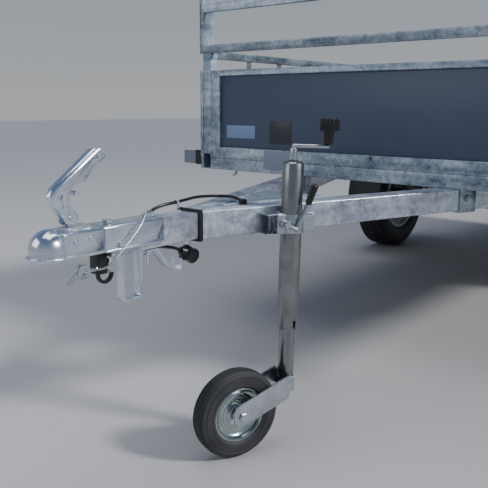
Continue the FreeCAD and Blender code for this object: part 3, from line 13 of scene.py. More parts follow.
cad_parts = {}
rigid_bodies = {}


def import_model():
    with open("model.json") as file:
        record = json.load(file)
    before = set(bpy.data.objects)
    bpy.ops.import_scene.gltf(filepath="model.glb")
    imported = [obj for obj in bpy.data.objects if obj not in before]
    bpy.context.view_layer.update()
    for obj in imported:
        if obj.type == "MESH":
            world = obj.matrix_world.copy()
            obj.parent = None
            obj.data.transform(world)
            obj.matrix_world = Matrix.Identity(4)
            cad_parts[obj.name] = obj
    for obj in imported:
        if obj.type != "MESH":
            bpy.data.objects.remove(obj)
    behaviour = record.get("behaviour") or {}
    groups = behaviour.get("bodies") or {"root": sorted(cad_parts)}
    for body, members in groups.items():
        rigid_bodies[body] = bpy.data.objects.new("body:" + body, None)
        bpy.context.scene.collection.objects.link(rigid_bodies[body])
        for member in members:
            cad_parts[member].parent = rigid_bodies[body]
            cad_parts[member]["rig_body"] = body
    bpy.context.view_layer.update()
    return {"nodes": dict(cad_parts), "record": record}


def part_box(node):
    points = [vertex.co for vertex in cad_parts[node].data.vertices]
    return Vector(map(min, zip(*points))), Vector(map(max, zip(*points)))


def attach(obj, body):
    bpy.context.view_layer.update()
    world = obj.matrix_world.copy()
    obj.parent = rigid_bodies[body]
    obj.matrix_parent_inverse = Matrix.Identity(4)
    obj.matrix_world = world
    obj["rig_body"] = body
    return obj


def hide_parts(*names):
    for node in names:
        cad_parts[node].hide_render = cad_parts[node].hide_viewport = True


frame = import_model()
print("CAD nodes:", len(frame["nodes"]))

# %% [markdown]
# Places. The camera, the cords and the welds are measured from the drawbar's nose, where the
# two arms meet, so its place is read from the nose tube. Faces that carry a small piece are
# read from the boxes of their nodes, and places along such a face are metres in the frame.

# %% Places from the frame
NOSE_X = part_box("nose_tube")[0].x
ARM_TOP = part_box("drawbar_arm_left")[1].z
FRONT_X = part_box("front_frame")[1].x
MM = 0.001


def from_nose(x, y, z):
    """A point given in millimetres from the drawbar's nose, its height from the drawbar's top."""
    return Vector((NOSE_X + x * MM, y * MM, ARM_TOP + z * MM))


print("nose at", round(NOSE_X, 4), "front board at", round(FRONT_X, 4))

# %% [markdown]
# The camera stands ahead of the coupling on the trailer's left, as high as the front board,
# and looks down at the nose. Its place, angles and lens come from a least-squares fit to edges
# traced on the photograph, so straight members fall where they do there.

# %% Camera
CAMERA_PLACE = from_nose(1003.98, 975.45, 217.34)
YAW, PITCH, ROLL = math.radians(39.578), math.radians(11.786), math.radians(-0.298)
LENS, SENSOR, NEAREST = 48.6, 36.0, 0.05

forward = Vector((-math.cos(YAW) * math.cos(PITCH), -math.sin(YAW) * math.cos(PITCH), -math.sin(PITCH)))
level = forward.cross(Vector((0, 0, 1))).normalized()
down = forward.cross(level)
right = level * math.cos(ROLL) + down * math.sin(ROLL)
below = down * math.cos(ROLL) - level * math.sin(ROLL)
camera = bpy.data.objects.new("camera", bpy.data.cameras.new("camera"))
bpy.context.scene.collection.objects.link(camera)
turn = Matrix((right, -below, -forward)).transposed().to_4x4()
camera.matrix_world = Matrix.Translation(CAMERA_PLACE) @ turn
camera.data.lens = LENS
camera.data.sensor_width = SENSOR
camera.data.clip_start = NEAREST
bpy.context.scene.camera = camera
print("camera looks along", [round(v, 3) for v in forward])

# %% [markdown]
# Two cords hang on the drawbar. The lighting lead leaves a rubber boot on the left arm, runs
# along the nose tube and ends in the plug. The breakaway cable runs from a lug behind the
# coupling over its side to the hook below. Each is a smooth NURBS curve of order 3 along the
# route of its CAD tube, which it replaces. The cord's radius is on its points, because the box
# of a curve reaches out by its points' radius, and points left at 1 make it a metre too large.

# %% Cords
LEAD = [(-145, 18, 7), (-154, 0, 8), (-162, -20, 10), (-158, -42, 11), (-136, -56, 12),
        (-104, -60, 14), (-70, -54, 16), (-38, -42, 17), (-6, -32, 17), (26, -28, 16),
        (54, -31, 14), (78, -37, 7), (94, -44, -8), (99, -50, -31), (98, -48, -52),
        (90, -38, -68), (74, -18, -71), (54, 0, -73), (36, 0, -82)]
BREAKAWAY = [(115, 0, 11), (134, 11, 15), (152, 26, 16), (168, 37, 6), (190, 41, -14),
             (216, 42.5, -36), (240, 42.5, -54), (255, 41, -68), (268, 32, -75), (275.3, 22.5, -75.6)]
LEAD_THICK, WIRE_THICK = 0.007, 0.004


def cord_curve(name, route, radius):
    """A round cord along a route that is given from the drawbar's nose."""
    line = bpy.data.curves.new(name, "CURVE")
    line.dimensions = "3D"
    line.bevel_depth = 1
    line.bevel_resolution = 5
    line.resolution_u = 12
    line.use_fill_caps = True
    spline = line.splines.new("NURBS")
    spline.points.add(len(route) - 1)
    for point, place in zip(spline.points, route):
        point.co = (*from_nose(*place), 1)
        point.radius = radius
    spline.order_u = 3
    spline.use_endpoint_u = True
    piece = bpy.data.objects.new(name, line)
    bpy.context.scene.collection.objects.link(piece)
    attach(piece, "chassis")
    return piece


def curve_length(piece):
    """The length of a cord's middle line, measured on a copy that has no thickness."""
    evaluated = piece.evaluated_get(bpy.context.evaluated_depsgraph_get())
    bare = evaluated.data.copy()
    bare.bevel_depth = 0
    probe = bpy.data.objects.new("probe", bare)
    bpy.context.scene.collection.objects.link(probe)
    mesh = probe.to_mesh()
    ends = [[mesh.vertices[k].co for k in edge.vertices] for edge in mesh.edges]
    total = sum((first - second).length for first, second in ends)
    bpy.data.objects.remove(probe)
    return total


lead = cord_curve("lead_curve", LEAD, LEAD_THICK / 2)
breakaway = cord_curve("breakaway_curve", BREAKAWAY, WIRE_THICK / 2)
cords = ((lead, "lead", "cable", LEAD, LEAD_THICK, "plug", "medium", ["plug"]),
         (breakaway, "breakaway_wire", "wire", BREAKAWAY, WIRE_THICK, "object", "stiff", []))
for piece, node, slot, route, diameter, far_end, stiffness, carried in cords:
    length = curve_length(piece)
    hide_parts(node)
    from_nose(*route[0])
    print(piece.name, "is", round(length, 3), "m long")

# %% [markdown]
# Finishes are written as sums. A small class wraps a shader socket, so that a plus or a times
# sign adds a Math node, and one method of the sheet makes each node, sets it and links it.

# %% Shader sums
class Level:
    """One number that varies over the surface; sums and products on it add Math nodes."""

    def __init__(self, sheet, socket):
        self.sheet = sheet
        self.socket = socket

    def math(self, operation, first, second):
        values = {0: first, 1: second}
        return self.sheet.node("Math", {"operation": operation}, values)

    def __add__(self, other):
        return self.math("ADD", self, other)

    def __mul__(self, other):
        return self.math("MULTIPLY", self, other)

    __radd__ = __add__
    __rmul__ = __mul__


class Sheet:
    """One material and the nodes on it."""

    def __init__(self, name, **shader):
        self.material = bpy.data.materials.new(name)
        self.material.use_nodes = True
        self.tree = self.material.node_tree
        self.shader = self.tree.nodes["Principled BSDF"]
        for socket, value in shader.items():
            self.shader.inputs[socket.replace("_", " ")].default_value = value

    def node(self, kind, settings=None, values=None, out=0):
        made = self.tree.nodes.new("ShaderNode" + kind)
        for key, value in (settings or {}).items():
            if key == "stops":
                self.set_stops(made.color_ramp, value)
            else:
                setattr(made, key, value)
        for key, value in (values or {}).items():
            if isinstance(value, Level):
                self.tree.links.new(value.socket, made.inputs[key])
            else:
                made.inputs[key].default_value = value
        return Level(self, made.outputs[out])

    def set_stops(self, ramp, stops):
        for element, (place, value) in zip(ramp.elements, (stops[0], stops[-1])):
            element.position = place
            element.color = (value, value, value, 1)
        for place, value in stops[1:-1]:
            ramp.elements.new(place).color = (value, value, value, 1)

    def place(self, stretch=(1, 1, 1)):
        """Object coordinates, in metres, stretched along each axis."""
        where = self.node("TexCoord", out="Object")
        return self.node("Mapping", values={"Vector": where, "Scale": stretch})

    def cloud(self, scale, detail, stretch=(1, 1, 1), wander=0.0):
        """A soft noise between 0 and 1."""
        return self.node("TexNoise", values={"Vector": self.place(stretch), "Scale": scale,
                                             "Detail": detail, "Distortion": wander})

    def cells(self, scale):
        """A flat random number for each crystal."""
        colour = self.node("TexVoronoi", values={"Vector": self.place(), "Scale": scale,
                                                "Randomness": 1.0}, out="Color")
        return self.node("SeparateColor", values={"Color": colour})

    def ramp(self, level, stops):
        return self.node("ValToRGB", {"stops": stops}, {"Fac": level})

    def mix(self, level, first, second):
        """A colour between two colours."""
        return self.node("Mix", {"data_type": "RGBA"}, {0: level, 6: first, 7: second}, out=2)

    def feed(self, **levels):
        for socket, level in levels.items():
            self.tree.links.new(level.socket, self.shader.inputs[socket.replace("_", " ")])

    def bump(self, height, strength, distance):
        self.feed(Normal=self.node("Bump", values={"Height": height, "Strength": strength,
                                                   "Distance": distance}))


def rgb(red, green, blue):
    """A linear colour from the 0 to 255 steps of a screen."""
    steps = [v / 255 for v in (red, green, blue)]
    return tuple(v / 12.92 if v <= 0.04045 else ((v + 0.055) / 1.055) ** 2.4 for v in steps) + (1,)


print("shader sums ready")

# %% [markdown]
# Hot-dip galvanised steel is the trailer's main finish. The zinc freezes in flat crystals, the
# spangle, and weathers to a cloudy grey. A cell pattern makes the crystals, a fine cloud and a
# stretched one make the film uneven, and a slow cloud makes some stretches dull and others
# bright, in colour and roughness together.

# %% Galvanised steel
def galvanised(name, dark, middle, light, low, high):
    steel = Sheet(name, Metallic=0.66)
    patch = steel.ramp(steel.cloud(7.0, 8.0, wander=0.4), [(0.36, 0.0), (0.64, 1.0)])
    fine = steel.ramp(steel.cloud(60.0, 5.0), [(0.36, 0.0), (0.66, 1.0)])
    run = steel.ramp(steel.cloud(34.0, 3.0, (0.25, 0.25, 1.6)), [(0.35, 0.0), (0.65, 1.0)])
    flake = steel.cells(120.0)
    tone = patch * 0.36 + fine * 0.22 + run * 0.22 + flake * 0.2
    steel.feed(Base_Color=steel.mix(tone, steel.mix(tone, dark, middle), steel.mix(tone, middle, light)))
    steel.feed(Roughness=patch * (high - low) + flake * 0.08 + low)
    steel.bump(fine * 0.5 + flake * 0.2 + run * 0.3, 0.2, 0.0006)
    return steel.material


# The bed's copy is darker than the arms' copy. That darkness is painted shade, because the front of the bed
# lies in shade. The cloudy, streaked tone within each copy is the zinc's own.
bed_steel_painted_shade = galvanised("bed_steel_painted_shade", rgb(76, 92, 110), rgb(134, 150, 166), rgb(214, 224, 232), 0.26, 0.46)
arm_steel = galvanised("arm_steel", rgb(104, 116, 132), rgb(172, 182, 196), rgb(238, 243, 248), 0.2, 0.4)
print("galvanised finishes:", bed_steel_painted_shade.name, arm_steel.name)

# %% [markdown]
# The coupling, the jockey wheel and the clamps are electro-plated: bright and smooth, with
# faint brushed streaks and a duller film in patches. A stretched cloud makes the streaks and a
# slower one the film, and both work on colour and roughness together.

# %% Bright zinc
def bright_zinc(name, colour, worn, low, high):
    zinc = Sheet(name, Metallic=0.97)
    film = zinc.ramp(zinc.cloud(24.0, 4.0), [(0.4, 0.0), (0.75, 1.0)])
    streak = zinc.cloud(90.0, 2.0, (1, 1, 0.08))
    zinc.feed(Base_Color=zinc.mix(film * 0.6 + streak * 0.3, colour, worn))
    zinc.feed(Roughness=film * (high - low) + streak * 0.06 + low)
    zinc.bump(streak, 0.06, 0.0003)
    return zinc.material


head_zinc = bright_zinc("head_zinc", rgb(226, 232, 240), rgb(168, 180, 198), 0.12, 0.32)
tube_zinc = bright_zinc("tube_zinc", rgb(146, 149, 149), rgb(106, 110, 111), 0.2, 0.38)
clamp_zinc = bright_zinc("clamp_zinc", rgb(198, 203, 208), rgb(140, 148, 158), 0.18, 0.38)
disc_zinc = bright_zinc("disc_zinc", rgb(198, 208, 206), rgb(128, 142, 142), 0.12, 0.3)
wire_steel = bright_zinc("wire_steel", rgb(214, 216, 218), rgb(160, 164, 168), 0.25, 0.4)
print("zinc finishes:", head_zinc.name, tube_zinc.name)

# %% [markdown]
# The boards hold a smooth sheet in slate blue. The paint is even, so a very slow cloud of dust
# and a fine orange peel are enough. Rims, hubs, leaf springs, blank plates and the floor's
# film-faced board are as even, so they share the function with colours of their own.

# %% Painted panel and plain finishes
def painted(name, colour, dusty, roughness, coat=0.0):
    paint = Sheet(name, Metallic=0.0, Coat_Weight=coat, Coat_Roughness=0.2)
    dust = paint.cloud(2.2, 5.0)
    paint.feed(Base_Color=paint.mix(dust, colour, dusty))
    paint.feed(Roughness=dust * 0.15 + roughness)
    paint.bump(paint.cloud(420.0, 1.0), 0.04, 0.0002)
    return paint.material


panel_paint = painted("panel_paint", rgb(63, 74, 97), rgb(73, 84, 107), 0.34)
rim_paint = painted("rim_paint", rgb(176, 180, 184), rgb(196, 199, 202), 0.3, 0.4)
dark_paint = painted("dark_paint", rgb(34, 35, 37), rgb(48, 49, 51), 0.45)
plate_black = painted("plate_black", rgb(42, 45, 51), rgb(50, 53, 59), 0.3)
plate_pale = painted("plate_pale", rgb(118, 141, 177), rgb(128, 150, 184), 0.35)
plate_zinc = painted("plate_zinc", rgb(122, 133, 151), rgb(134, 144, 161), 0.32)
film_board = painted("film_board", rgb(58, 38, 27), rgb(74, 50, 36), 0.4)
print("paints ready")

# %% [markdown]
# Rubber and moulded plastic are dark and rough. Their grain is a fine noise in the bump, and
# dust lightens them in patches.

# %% Rubber and plastic
def grained(name, colour, dusty, roughness, grain, depth):
    soft = Sheet(name, Metallic=0.0)
    dust = soft.ramp(soft.cloud(14.0, 6.0), [(0.35, 0.0), (0.8, 1.0)])
    soft.feed(Base_Color=soft.mix(dust, colour, dusty))
    soft.feed(Roughness=dust * 0.12 + roughness)
    soft.bump(soft.cloud(grain, 3.0), 0.3, depth)
    return soft.material


road_rubber = grained("road_rubber", rgb(24, 25, 27), rgb(40, 41, 43), 0.62, 260.0, 0.0004)
jockey_rubber = grained("jockey_rubber", rgb(34, 35, 38), rgb(58, 58, 61), 0.58, 320.0, 0.0004)
plastic = grained("plastic", rgb(9, 10, 13), rgb(17, 18, 22), 0.34, 700.0, 0.0002)
guard_plastic = grained("guard_plastic", rgb(20, 21, 23), rgb(30, 31, 33), 0.5, 900.0, 0.0003)
sheath = grained("sheath", rgb(10, 11, 14), rgb(18, 19, 22), 0.32, 500.0, 0.0001)
print("soft finishes ready")

# %% [markdown]
# A lens is a clear moulding over a bright cup, with fine ribs inside. From outside it reads as
# a glossy colour with ribs under a smooth coat, so one wave in colour, roughness and bump is
# enough.

# %% Lenses
def lens(name, colour, deep):
    glass = Sheet(name, Metallic=0.0, Coat_Weight=1.0, Coat_Roughness=0.05)
    ribs = glass.node("TexWave", {"wave_type": "BANDS", "bands_direction": "Y"},
                      {"Vector": glass.place(), "Scale": 60.0, "Distortion": 0.0})
    glass.feed(Base_Color=glass.mix(ribs, colour, deep))
    glass.feed(Roughness=ribs * 0.2 + 0.15)
    glass.bump(ribs, 0.25, 0.0008)
    return glass.material


white_lens = lens("white_lens", rgb(122, 130, 146), rgb(98, 106, 122))
red_lens = lens("red_lens", rgb(168, 14, 16), rgb(110, 6, 8))
print("lenses ready")

# %% [markdown]
# Every CAD node takes one of the finishes. One table pairs them, so nothing is forgotten: the
# cell stops the script if a node is left out.

# %% Finishes for the nodes
FINISHES = {
    bed_steel_painted_shade: "arm_brackets runners under_beams side_frames side_rails cross_rails corner_posts "
               "front_frame front_rack gate_frame gate_hinges lamp_bar guard_stays spring_hangers "
               "nose_gusset axle_beam",
    arm_steel: "drawbar_arm_left drawbar_arm_right nose_tube",
    head_zinc: "coupling_head coupling_lever coupling_studs breakaway_anchor stirrup plug_holder "
               "lead_clip",
    tube_zinc: "jockey_outer jockey_inner jockey_nut",
    clamp_zinc: "jockey_clamp jockey_band clamp_lever jockey_crank gate_latches spring_clamps "
                "cable_hook",
    disc_zinc: "jockey_rim",
    panel_paint: "side_panels front_panel gate_panel",
    film_board: "floor_board",
    road_rubber: "tyre_left tyre_right lead_gland",
    jockey_rubber: "jockey_tyre",
    rim_paint: "rim_left rim_right",
    dark_paint: "hub_left hub_right leaf_springs",
    guard_plastic: "mudguards",
    plastic: "marker_bases jockey_knob clamp_grip plug nose_band",
    white_lens: "marker_lenses",
    red_lens: "rear_lamps",
    sheath: "lead",
    wire_steel: "breakaway_wire"}
finish_of = {node: finish for finish, names in FINISHES.items() for node in names.split()}
for node, item in frame["nodes"].items():
    item.data.materials.clear()
    item.data.materials.append(finish_of[node])
for piece, node, *_ in cords:
    piece.data.materials.append(finish_of[node])
print("nodes with a finish:", len(finish_of))

# %% [markdown]
# Every new piece is a mesh that rides on one of the trailer's bodies and moves with it. A mesh
# that is drawn here is shaded smooth between its creases, so round walls need few faces.

# %% New pieces
CREASE = math.radians(35)


def add_piece(name, mesh, body, finish):
    """Shows a mesh in one finish as a piece on a body."""
    piece = bpy.data.objects.new(name, mesh)
    bpy.context.scene.collection.objects.link(piece)
    mesh.materials.append(finish)
    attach(piece, body)
    return piece


def finished(work, name, body, finish):
    """Turns a drawn mesh into a piece whose creases stay sharp."""
    mesh = bpy.data.meshes.new(name)
    work.to_mesh(mesh)
    work.free()
    mesh.shade_smooth()
    mesh.set_sharp_from_angle(angle=CREASE)
    piece = add_piece(name, mesh, body, finish)
    return piece


print("a crease is an edge over", round(math.degrees(CREASE)), "degrees")

# %% [markdown]
# A solid from CAD has knife edges, and a knife edge catches no light. Most nodes get a copy
# whose doubles are merged and whose flat triangles are joined again, and a narrow bevel rounds
# it, about as much as the real plate, tube or pressing is rounded. The rest, which are small,
# round or under the bed, stay as they are.

# %% Soft edges
MERGE_WITHIN = 2e-6
FLAT = math.radians(1.0)
KNIFE_EDGE = math.radians(32)


def softened(node, width):
    """Shows a copy of a CAD node in its place, its edges rounded over a width in millimetres."""
    source = frame["nodes"][node]
    work = bmesh.new()
    work.from_mesh(source.data)
    bmesh.ops.remove_doubles(work, verts=work.verts, dist=MERGE_WITHIN)
    bmesh.ops.dissolve_limit(work, angle_limit=FLAT, verts=work.verts, edges=work.edges)
    mesh = bpy.data.meshes.new(node + "_soft")
    work.to_mesh(mesh)
    work.free()
    mesh.shade_smooth()
    piece = add_piece(node + "_soft", mesh, source["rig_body"], finish_of[node])
    edge = piece.modifiers.new("edges", "BEVEL")
    edge.width = width * MM
    edge.segments = 2
    edge.limit_method = "ANGLE"
    edge.angle_limit = KNIFE_EDGE
    edge.use_clamp_overlap = True
    edge.harden_normals = True
    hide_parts(node)


SOFT_WIDTHS = {
    0.4: "breakaway_anchor lead_clip plug_holder coupling_studs gate_latches",
    0.6: "coupling_head coupling_lever jockey_clamp jockey_band jockey_outer jockey_inner stirrup "
         "nose_band clamp_lever jockey_crank gate_hinges cable_hook",
    0.9: "nose_tube nose_gusset arm_brackets guard_stays lamp_bar side_panels front_panel gate_panel",
    1.2: "drawbar_arm_left drawbar_arm_right side_frames side_rails front_frame front_rack "
         "gate_frame cross_rails runners corner_posts floor_board",
    1.8: "jockey_knob mudguards rim_left rim_right marker_bases"}
for width, names in SOFT_WIDTHS.items():
    for node in names.split():
        softened(node, width)
print("softened nodes:", sum(len(names.split()) for names in SOFT_WIDTHS.values()))

# %% [markdown]
# A tyre is a solid of revolution, and so is a wheel's disc. Half a section is drawn as a few
# corners, mirrored and spun round the axle, because a groove or a bead then runs all the way
# round for the price of four corners.

# %% Spun sections
SPIN_STEPS = 96


def spun(side, centre, axis):
    """Half a section, as (across, radius) from the crown out, mirrored and spun round an axis."""
    corners = [(-across, radius) for across, radius in reversed(side) if across > 0] + side
    work = bmesh.new()
    axis = Vector(axis)
    verts = [work.verts.new(centre + axis * across + Vector((0, 0, radius))) for across, radius in corners]
    edges = [work.edges.new(pair) for pair in zip(verts, verts[1:])]
    bmesh.ops.spin(work, geom=verts + edges, cent=centre, axis=axis, angle=math.tau, steps=SPIN_STEPS,
                   use_merge=True)
    bmesh.ops.remove_doubles(work, verts=work.verts, dist=1e-6)
    bmesh.ops.recalc_face_normals(work, faces=work.faces)
    return work


def spun_piece(work, node, finish):
    """Shows a spun mesh in the place of a CAD node."""
    piece = finished(work, node + "_spun", frame["nodes"][node]["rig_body"], finish)
    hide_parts(node)
    print(piece.name, "has", len(piece.data.polygons), "faces")


def joint_axis(body):
    """The axis of the joint that carries a body."""
    return Vector(next(j["axis"] for j in frame["record"]["behaviour"]["joints"] if j["child"] == body))


print("sections are spun in", SPIN_STEPS, "steps")

# %% [markdown]
# A road tyre carries rows of rubber blocks. One block is shaped and copied round the crown, row
# by row, because the real tread repeats in the same way and a plain block has only six faces.

# %% Road tyres
WHEEL_LOW, WHEEL_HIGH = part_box("tyre_left")
AXLE = (WHEEL_LOW + WHEEL_HIGH) / 2
TYRE_RADIUS = (WHEEL_HIGH.z - WHEEL_LOW.z) / 2
SEAT_RADIUS = 0.172
TREAD_DEPTH, TREAD_ROOT = 0.006, 0.002
TREAD_BLOCKS = 60
TREAD_INSET = 0.0004
SHOULDER, SHOULDER_DROP = 0.06, 0.0045
CROWN = TYRE_RADIUS - TREAD_DEPTH
ROAD_SIDE = [(0.0, CROWN + 0.0005), (0.055, CROWN), (0.0645, 0.2785), (0.0715, 0.268), (0.0765, 0.25),
             (0.0775, 0.232), (0.0755, 0.212), (0.069, 0.19), (0.061, 0.182), (0.0595, SEAT_RADIUS)]


def tread_block(work, y0, y1, share, skew):
    """One rubber block on the crown, above the axle."""
    made = bmesh.ops.create_cube(work, size=1)["verts"]
    pitch = math.tau * TYRE_RADIUS / TREAD_BLOCKS
    thick = TREAD_DEPTH + TREAD_ROOT
    bmesh.ops.scale(work, verts=made, vec=(pitch * share, y1 - y0, thick))
    for vert in made:
        across = vert.co.y + (y0 + y1) / 2
        vert.co.x += vert.co.y * skew
        drop = SHOULDER_DROP * (abs(across) / SHOULDER) ** 3
        vert.co.z += TYRE_RADIUS - thick / 2 - drop - TREAD_INSET
        vert.co.y = across
    bmesh.ops.translate(work, verts=made, vec=AXLE)
    return made


def tread(work):
    """Rows of blocks: from and to across the crown, the share of the pitch filled, and the skew."""
    rows = [(-0.0135, 0.0135, 0.9, 0.35), (0.0185, 0.036, 0.8, -0.35), (0.0405, 0.0615, 0.78, 0.15)]
    rows += [(-y1, -y0, share, -skew) for y0, y1, share, skew in rows[1:]]
    for y0, y1, share, skew in rows:
        first = tread_block(work, y0, y1, share, skew)
        faces = list({face for vert in first for face in vert.link_faces})
        for step in range(1, TREAD_BLOCKS):
            copied = bmesh.ops.duplicate(work, geom=first + faces)["geom"]
            moved = [item for item in copied if isinstance(item, bmesh.types.BMVert)]
            bmesh.ops.rotate(work, verts=moved, cent=AXLE,
                             matrix=Matrix.Rotation(math.tau * step / TREAD_BLOCKS, 3, "Y"))


for node in ("tyre_left", "tyre_right"):
    work = spun(ROAD_SIDE, AXLE, (0, 1, 0))
    tread(work)
    if node == "tyre_right":
        bmesh.ops.scale(work, verts=work.verts, vec=(1, -1, 1))
        bmesh.ops.recalc_face_normals(work, faces=work.faces)
    spun_piece(work, node, road_rubber)

# %% [markdown]
# The jockey wheel has a solid tyre with fine grooves and a disc pressed in steps. Both run all
# the way round, so they are part of the two sections.

# %% Jockey wheel
JOCKEY_LOW, JOCKEY_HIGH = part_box("jockey_tyre")
JOCKEY_AXLE = (JOCKEY_LOW + JOCKEY_HIGH) / 2
JOCKEY_AXIS = joint_axis("jockey_wheel")
GROOVE_HALF, GROOVE_DEPTH = 0.0011, 0.0026


def groove(middle, radius):
    """Four corners of a fine groove in the tyre's crown."""
    return [(middle - GROOVE_HALF, radius), (middle - GROOVE_HALF / 2, radius - GROOVE_DEPTH),
            (middle + GROOVE_HALF / 2, radius - GROOVE_DEPTH), (middle + GROOVE_HALF, radius)]


JOCKEY_SIDE = [(0.0, 0.102)] + groove(0.0035, 0.102) + groove(0.0085, 0.1018)
JOCKEY_SIDE += [(0.0115, 0.1014)] + groove(0.0142, 0.1003) + [(0.0175, 0.0986)] + groove(0.0192, 0.0968)
JOCKEY_SIDE += [(0.0215, 0.0935), (0.0225, 0.0905), (0.0225, 0.0885), (0.0217, 0.0875), (0.0217, 0.086),
                (0.0229, 0.085), (0.0229, 0.073), (0.0219, 0.0722), (0.0219, 0.0705), (0.0226, 0.0697),
                (0.0222, 0.0685), (0.0195, 0.0635), (0.0188, 0.0627)]
RIM_SIDE = [(0.0, 0.0623), (0.019, 0.0623), (0.0196, 0.061), (0.0188, 0.0594), (0.0172, 0.0588),
            (0.0118, 0.0562), (0.0072, 0.052), (0.0052, 0.047), (0.0058, 0.0445), (0.0078, 0.0435),
            (0.0085, 0.0385), (0.0105, 0.0372), (0.0112, 0.032), (0.0134, 0.0305), (0.0142, 0.0255),
            (0.0165, 0.0235), (0.0175, 0.0175), (0.021, 0.0145), (0.027, 0.0135), (0.0274, 0.0062)]
spun_piece(spun(JOCKEY_SIDE, JOCKEY_AXLE, JOCKEY_AXIS), "jockey_tyre", jockey_rubber)
spun_piece(spun(RIM_SIDE, JOCKEY_AXLE, JOCKEY_AXIS), "jockey_rim", disc_zinc)

# %% [markdown]
# One bolt on the sill and a washer under the crank are too small for the solids. Both are short
# pegs: a cone whose ends are about equal makes a round washer or a six-sided head.

# %% Bolt and washer
BOLT_PLACE = Vector((FRONT_X, 0.015, 0.628))
BOLT_AXIS = Vector((1, 0, 0))
BOLT_ACROSS = 0.011
BOLT_WASHER = 0.002
CRANK_WASHER, CRANK_WASHER_RADIUS, CRANK_WASHER_LIFT = 0.0018, 0.0112, 0.0006


def turned_to(axis):
    """The turn that lays an upright shape along an axis."""
    return Vector((0, 0, 1)).rotation_difference(axis).to_matrix()


def peg(work, place, axis, sides, radii, low, height):
    """A short peg along an axis, its foot at a distance from the place."""
    made = bmesh.ops.create_cone(work, cap_ends=True, segments=sides, radius1=radii[0],
                                 radius2=radii[1], depth=height)["verts"]
    bmesh.ops.translate(work, verts=made, vec=(0, 0, low + height / 2))
    bmesh.ops.rotate(work, verts=made, cent=(0, 0, 0), matrix=turned_to(axis))
    bmesh.ops.translate(work, verts=made, vec=place)


fasteners = bmesh.new()
washer_radius = BOLT_ACROSS * 0.66
head_radius = BOLT_ACROSS / math.sqrt(3)
peg(fasteners, BOLT_PLACE, BOLT_AXIS, 24, (washer_radius, washer_radius), 0.0, BOLT_WASHER)
peg(fasteners, BOLT_PLACE, BOLT_AXIS, 6, (head_radius, head_radius * 0.97), BOLT_WASHER, BOLT_ACROSS * 0.45)
print(finished(fasteners, "bed_bolts", "chassis", tube_zinc).name)

TUBE_MIDDLE = sum(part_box("jockey_nut"), Vector()) / 2
TUBE_AXIS = joint_axis("jockey_tube")
rise = (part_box("jockey_outer")[1].z + CRANK_WASHER_LIFT - TUBE_MIDDLE.z) / TUBE_AXIS.z
washer = bmesh.new()
peg(washer, TUBE_MIDDLE + TUBE_AXIS * rise, TUBE_AXIS, 32, (CRANK_WASHER_RADIUS, CRANK_WASHER_RADIUS),
    -CRANK_WASHER / 2, CRANK_WASHER)
print(finished(washer, "crank_washer", "jockey_tube", dark_paint).name)

# %% [markdown]
# The gusset is welded to both arms. A bead of weld is a row of frozen drops, so a chain of small
# balls that wobbles a little along the joint is closer to it than a smooth rod.

# %% Weld beads
WELD_START, WELD_END, WELD_HEIGHT = (-100, 4.2), (-380, 101), 0.3
WELD_RADIUS = 0.0028
BALL_PITCH, WOBBLE, WOBBLE_STEP = 1.1, 0.12, 2.3


def weld_bead(work, start, end, radius):
    """A chain of balls, their pitch and wobble given as shares of their radius."""
    count = max(2, int((end - start).length / (radius * BALL_PITCH)))
    along = (end - start).normalized()
    for k in range(count + 1):
        made = bmesh.ops.create_uvsphere(work, u_segments=8, v_segments=5, radius=radius)["verts"]
        bmesh.ops.rotate(work, verts=made, cent=(0, 0, 0), matrix=turned_to(along))
        lift = Vector((0, 0, radius * WOBBLE * math.sin(k * WOBBLE_STEP)))
        bmesh.ops.translate(work, verts=made, vec=start.lerp(end, k / count) + lift)


seams = bmesh.new()
for side in (1, -1):
    start, end = (from_nose(x, side * y, WELD_HEIGHT) for x, y in (WELD_START, WELD_END))
    weld_bead(seams, start, end, WELD_RADIUS)
print(finished(seams, "gusset_welds", "chassis", arm_steel).name)

# %% [markdown]
# The cable's clamp under the head is dark where the bright ring ends, and so is the hook's bow.
# The fork's cheeks are brighter than the tube above them. Faces inside a region get a second
# finish on the same piece.

# %% Second finishes
CLAMP_FRONT_X = from_nose(266, 0, 0).x
FORK_TOP, CHEEK_DISTANCE = 0.21, 0.025


def refinished(name, finish, inside):
    """Gives the faces of a piece whose middle is inside the region another finish."""
    mesh = bpy.data.objects[name].data
    mesh.materials.append(finish)
    for face in mesh.polygons:
        if inside(face.center):
            face.material_index = len(mesh.materials) - 1


refinished("cable_hook_soft", plastic, lambda place: place.x < CLAMP_FRONT_X)
refinished("jockey_inner_soft", clamp_zinc,
           lambda place: place.z < FORK_TOP and (place - TUBE_MIDDLE).xy.length > CHEEK_DISTANCE)
print("second finishes done")

# %% [markdown]
# The data plate, the small front plate and the sticker are left blank. Each is a thin plate
# with soft edges on the surface behind it.

# %% Blank plates
PANEL_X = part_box("front_panel")[1].x
PLATE_THICK, STICKER_THICK = 0.0015, 0.0006
EDGE_SHARE = 0.3


def blank_plate(name, low, high, finish):
    """A thin plate between two corners, its edges rounded by a share of its thickness."""
    work = bmesh.new()
    made = bmesh.ops.create_cube(work, size=1)["verts"]
    low, high = Vector(low), Vector(high)
    bmesh.ops.scale(work, verts=made, vec=high - low)
    bmesh.ops.translate(work, verts=made, vec=(low + high) / 2)
    bmesh.ops.bevel(work, geom=work.edges[:], offset=min(high - low) * EDGE_SHARE, affect="EDGES",
                    segments=2, profile=0.5, material=-1)
    finished(work, name, "chassis", finish)


blank_plate("data_plate", (PANEL_X, -0.364, 0.657), (PANEL_X + PLATE_THICK, -0.277, 0.731),
            plate_black)
blank_plate("blank_sticker", (PANEL_X, -0.551, 0.671), (PANEL_X + STICKER_THICK, -0.426, 0.714),
            plate_pale)
blank_plate("small_plate", (FRONT_X, -0.379, 0.574), (FRONT_X + PLATE_THICK, -0.273, 0.636),
            plate_zinc)
print("three blank plates")

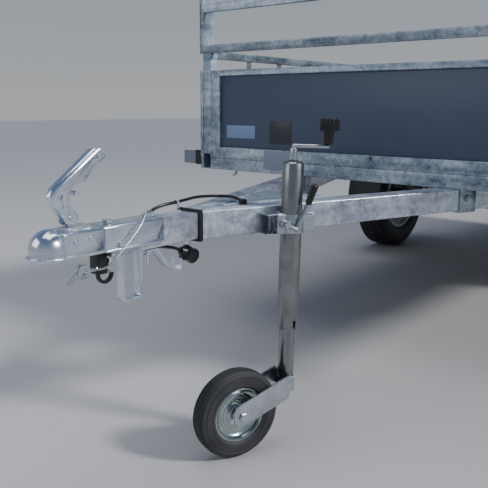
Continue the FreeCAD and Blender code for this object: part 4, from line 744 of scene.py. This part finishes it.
# %% [markdown]
# The studio is a pale floor under a soft sun from the trailer's left and rear, a fill in front,
# a box above and a sky that darkens upwards, so the zinc has light and dark to mirror.

# %% Studio
floor_mesh = bpy.data.meshes.new("floor")
work = bmesh.new()
bmesh.ops.create_grid(work, x_segments=1, y_segments=1, size=30)
work.to_mesh(floor_mesh)
work.free()
floor = bpy.data.objects.new("floor", floor_mesh)
bpy.context.scene.collection.objects.link(floor)
floor_sheet = Sheet("floor_paper", Metallic=0.0, Roughness=0.8)
floor_sheet.shader.inputs["Base Color"].default_value = (0.5, 0.49, 0.48, 1)
floor_mesh.materials.append(floor_sheet.material)


def softbox(name, place, target, size, power):
    """A rectangular light at a place, turned to its target, with a power in watts."""
    light = bpy.data.lights.new(name, "AREA")
    light.shape = "RECTANGLE"
    light.size, light.size_y = size
    light.energy = power
    item = bpy.data.objects.new(name, light)
    bpy.context.scene.collection.objects.link(item)
    item.location = place
    item.rotation_euler = (Vector(target) - Vector(place)).to_track_quat("-Z", "Y").to_euler()


key = bpy.data.objects.new("key", bpy.data.lights.new("key", "SUN"))
bpy.context.scene.collection.objects.link(key)
key.data.energy = 2.7
key.data.angle = math.radians(9)
key.rotation_euler = Vector((1.5, -4.2, -3.1)).to_track_quat("-Z", "Y").to_euler()
softbox("fill", (4.8, -2.2, 2.4), (1.4, 0, 0.5), (3.0, 2.0), 30)
softbox("top", (1.0, -0.5, 5.0), (0.8, 0, 0.5), (5.0, 3.0), 110)
world = bpy.data.worlds.new("studio")
bpy.context.scene.world = world
world.use_nodes = True
sky = world.node_tree.nodes.new("ShaderNodeValToRGB")
height = world.node_tree.nodes.new("ShaderNodeSeparateXYZ")
where = world.node_tree.nodes.new("ShaderNodeTexCoord")
world.node_tree.links.new(where.outputs["Generated"], height.inputs["Vector"])
world.node_tree.links.new(height.outputs["Z"], sky.inputs["Fac"])
world.node_tree.links.new(sky.outputs["Color"], world.node_tree.nodes["Background"].inputs["Color"])
SKY = ((0.0, (0.86, 0.88, 0.90, 1)), (0.3, (0.52, 0.64, 0.82, 1)), (1.0, (0.06, 0.15, 0.42, 1)))
for element, (level, colour) in zip(sky.color_ramp.elements, (SKY[0], SKY[-1])):
    element.position = level
    element.color = colour
for level, colour in SKY[1:-1]:
    sky.color_ramp.elements.new(level).color = colour
world.node_tree.nodes["Background"].inputs["Strength"].default_value = 0.5
print("studio lit")
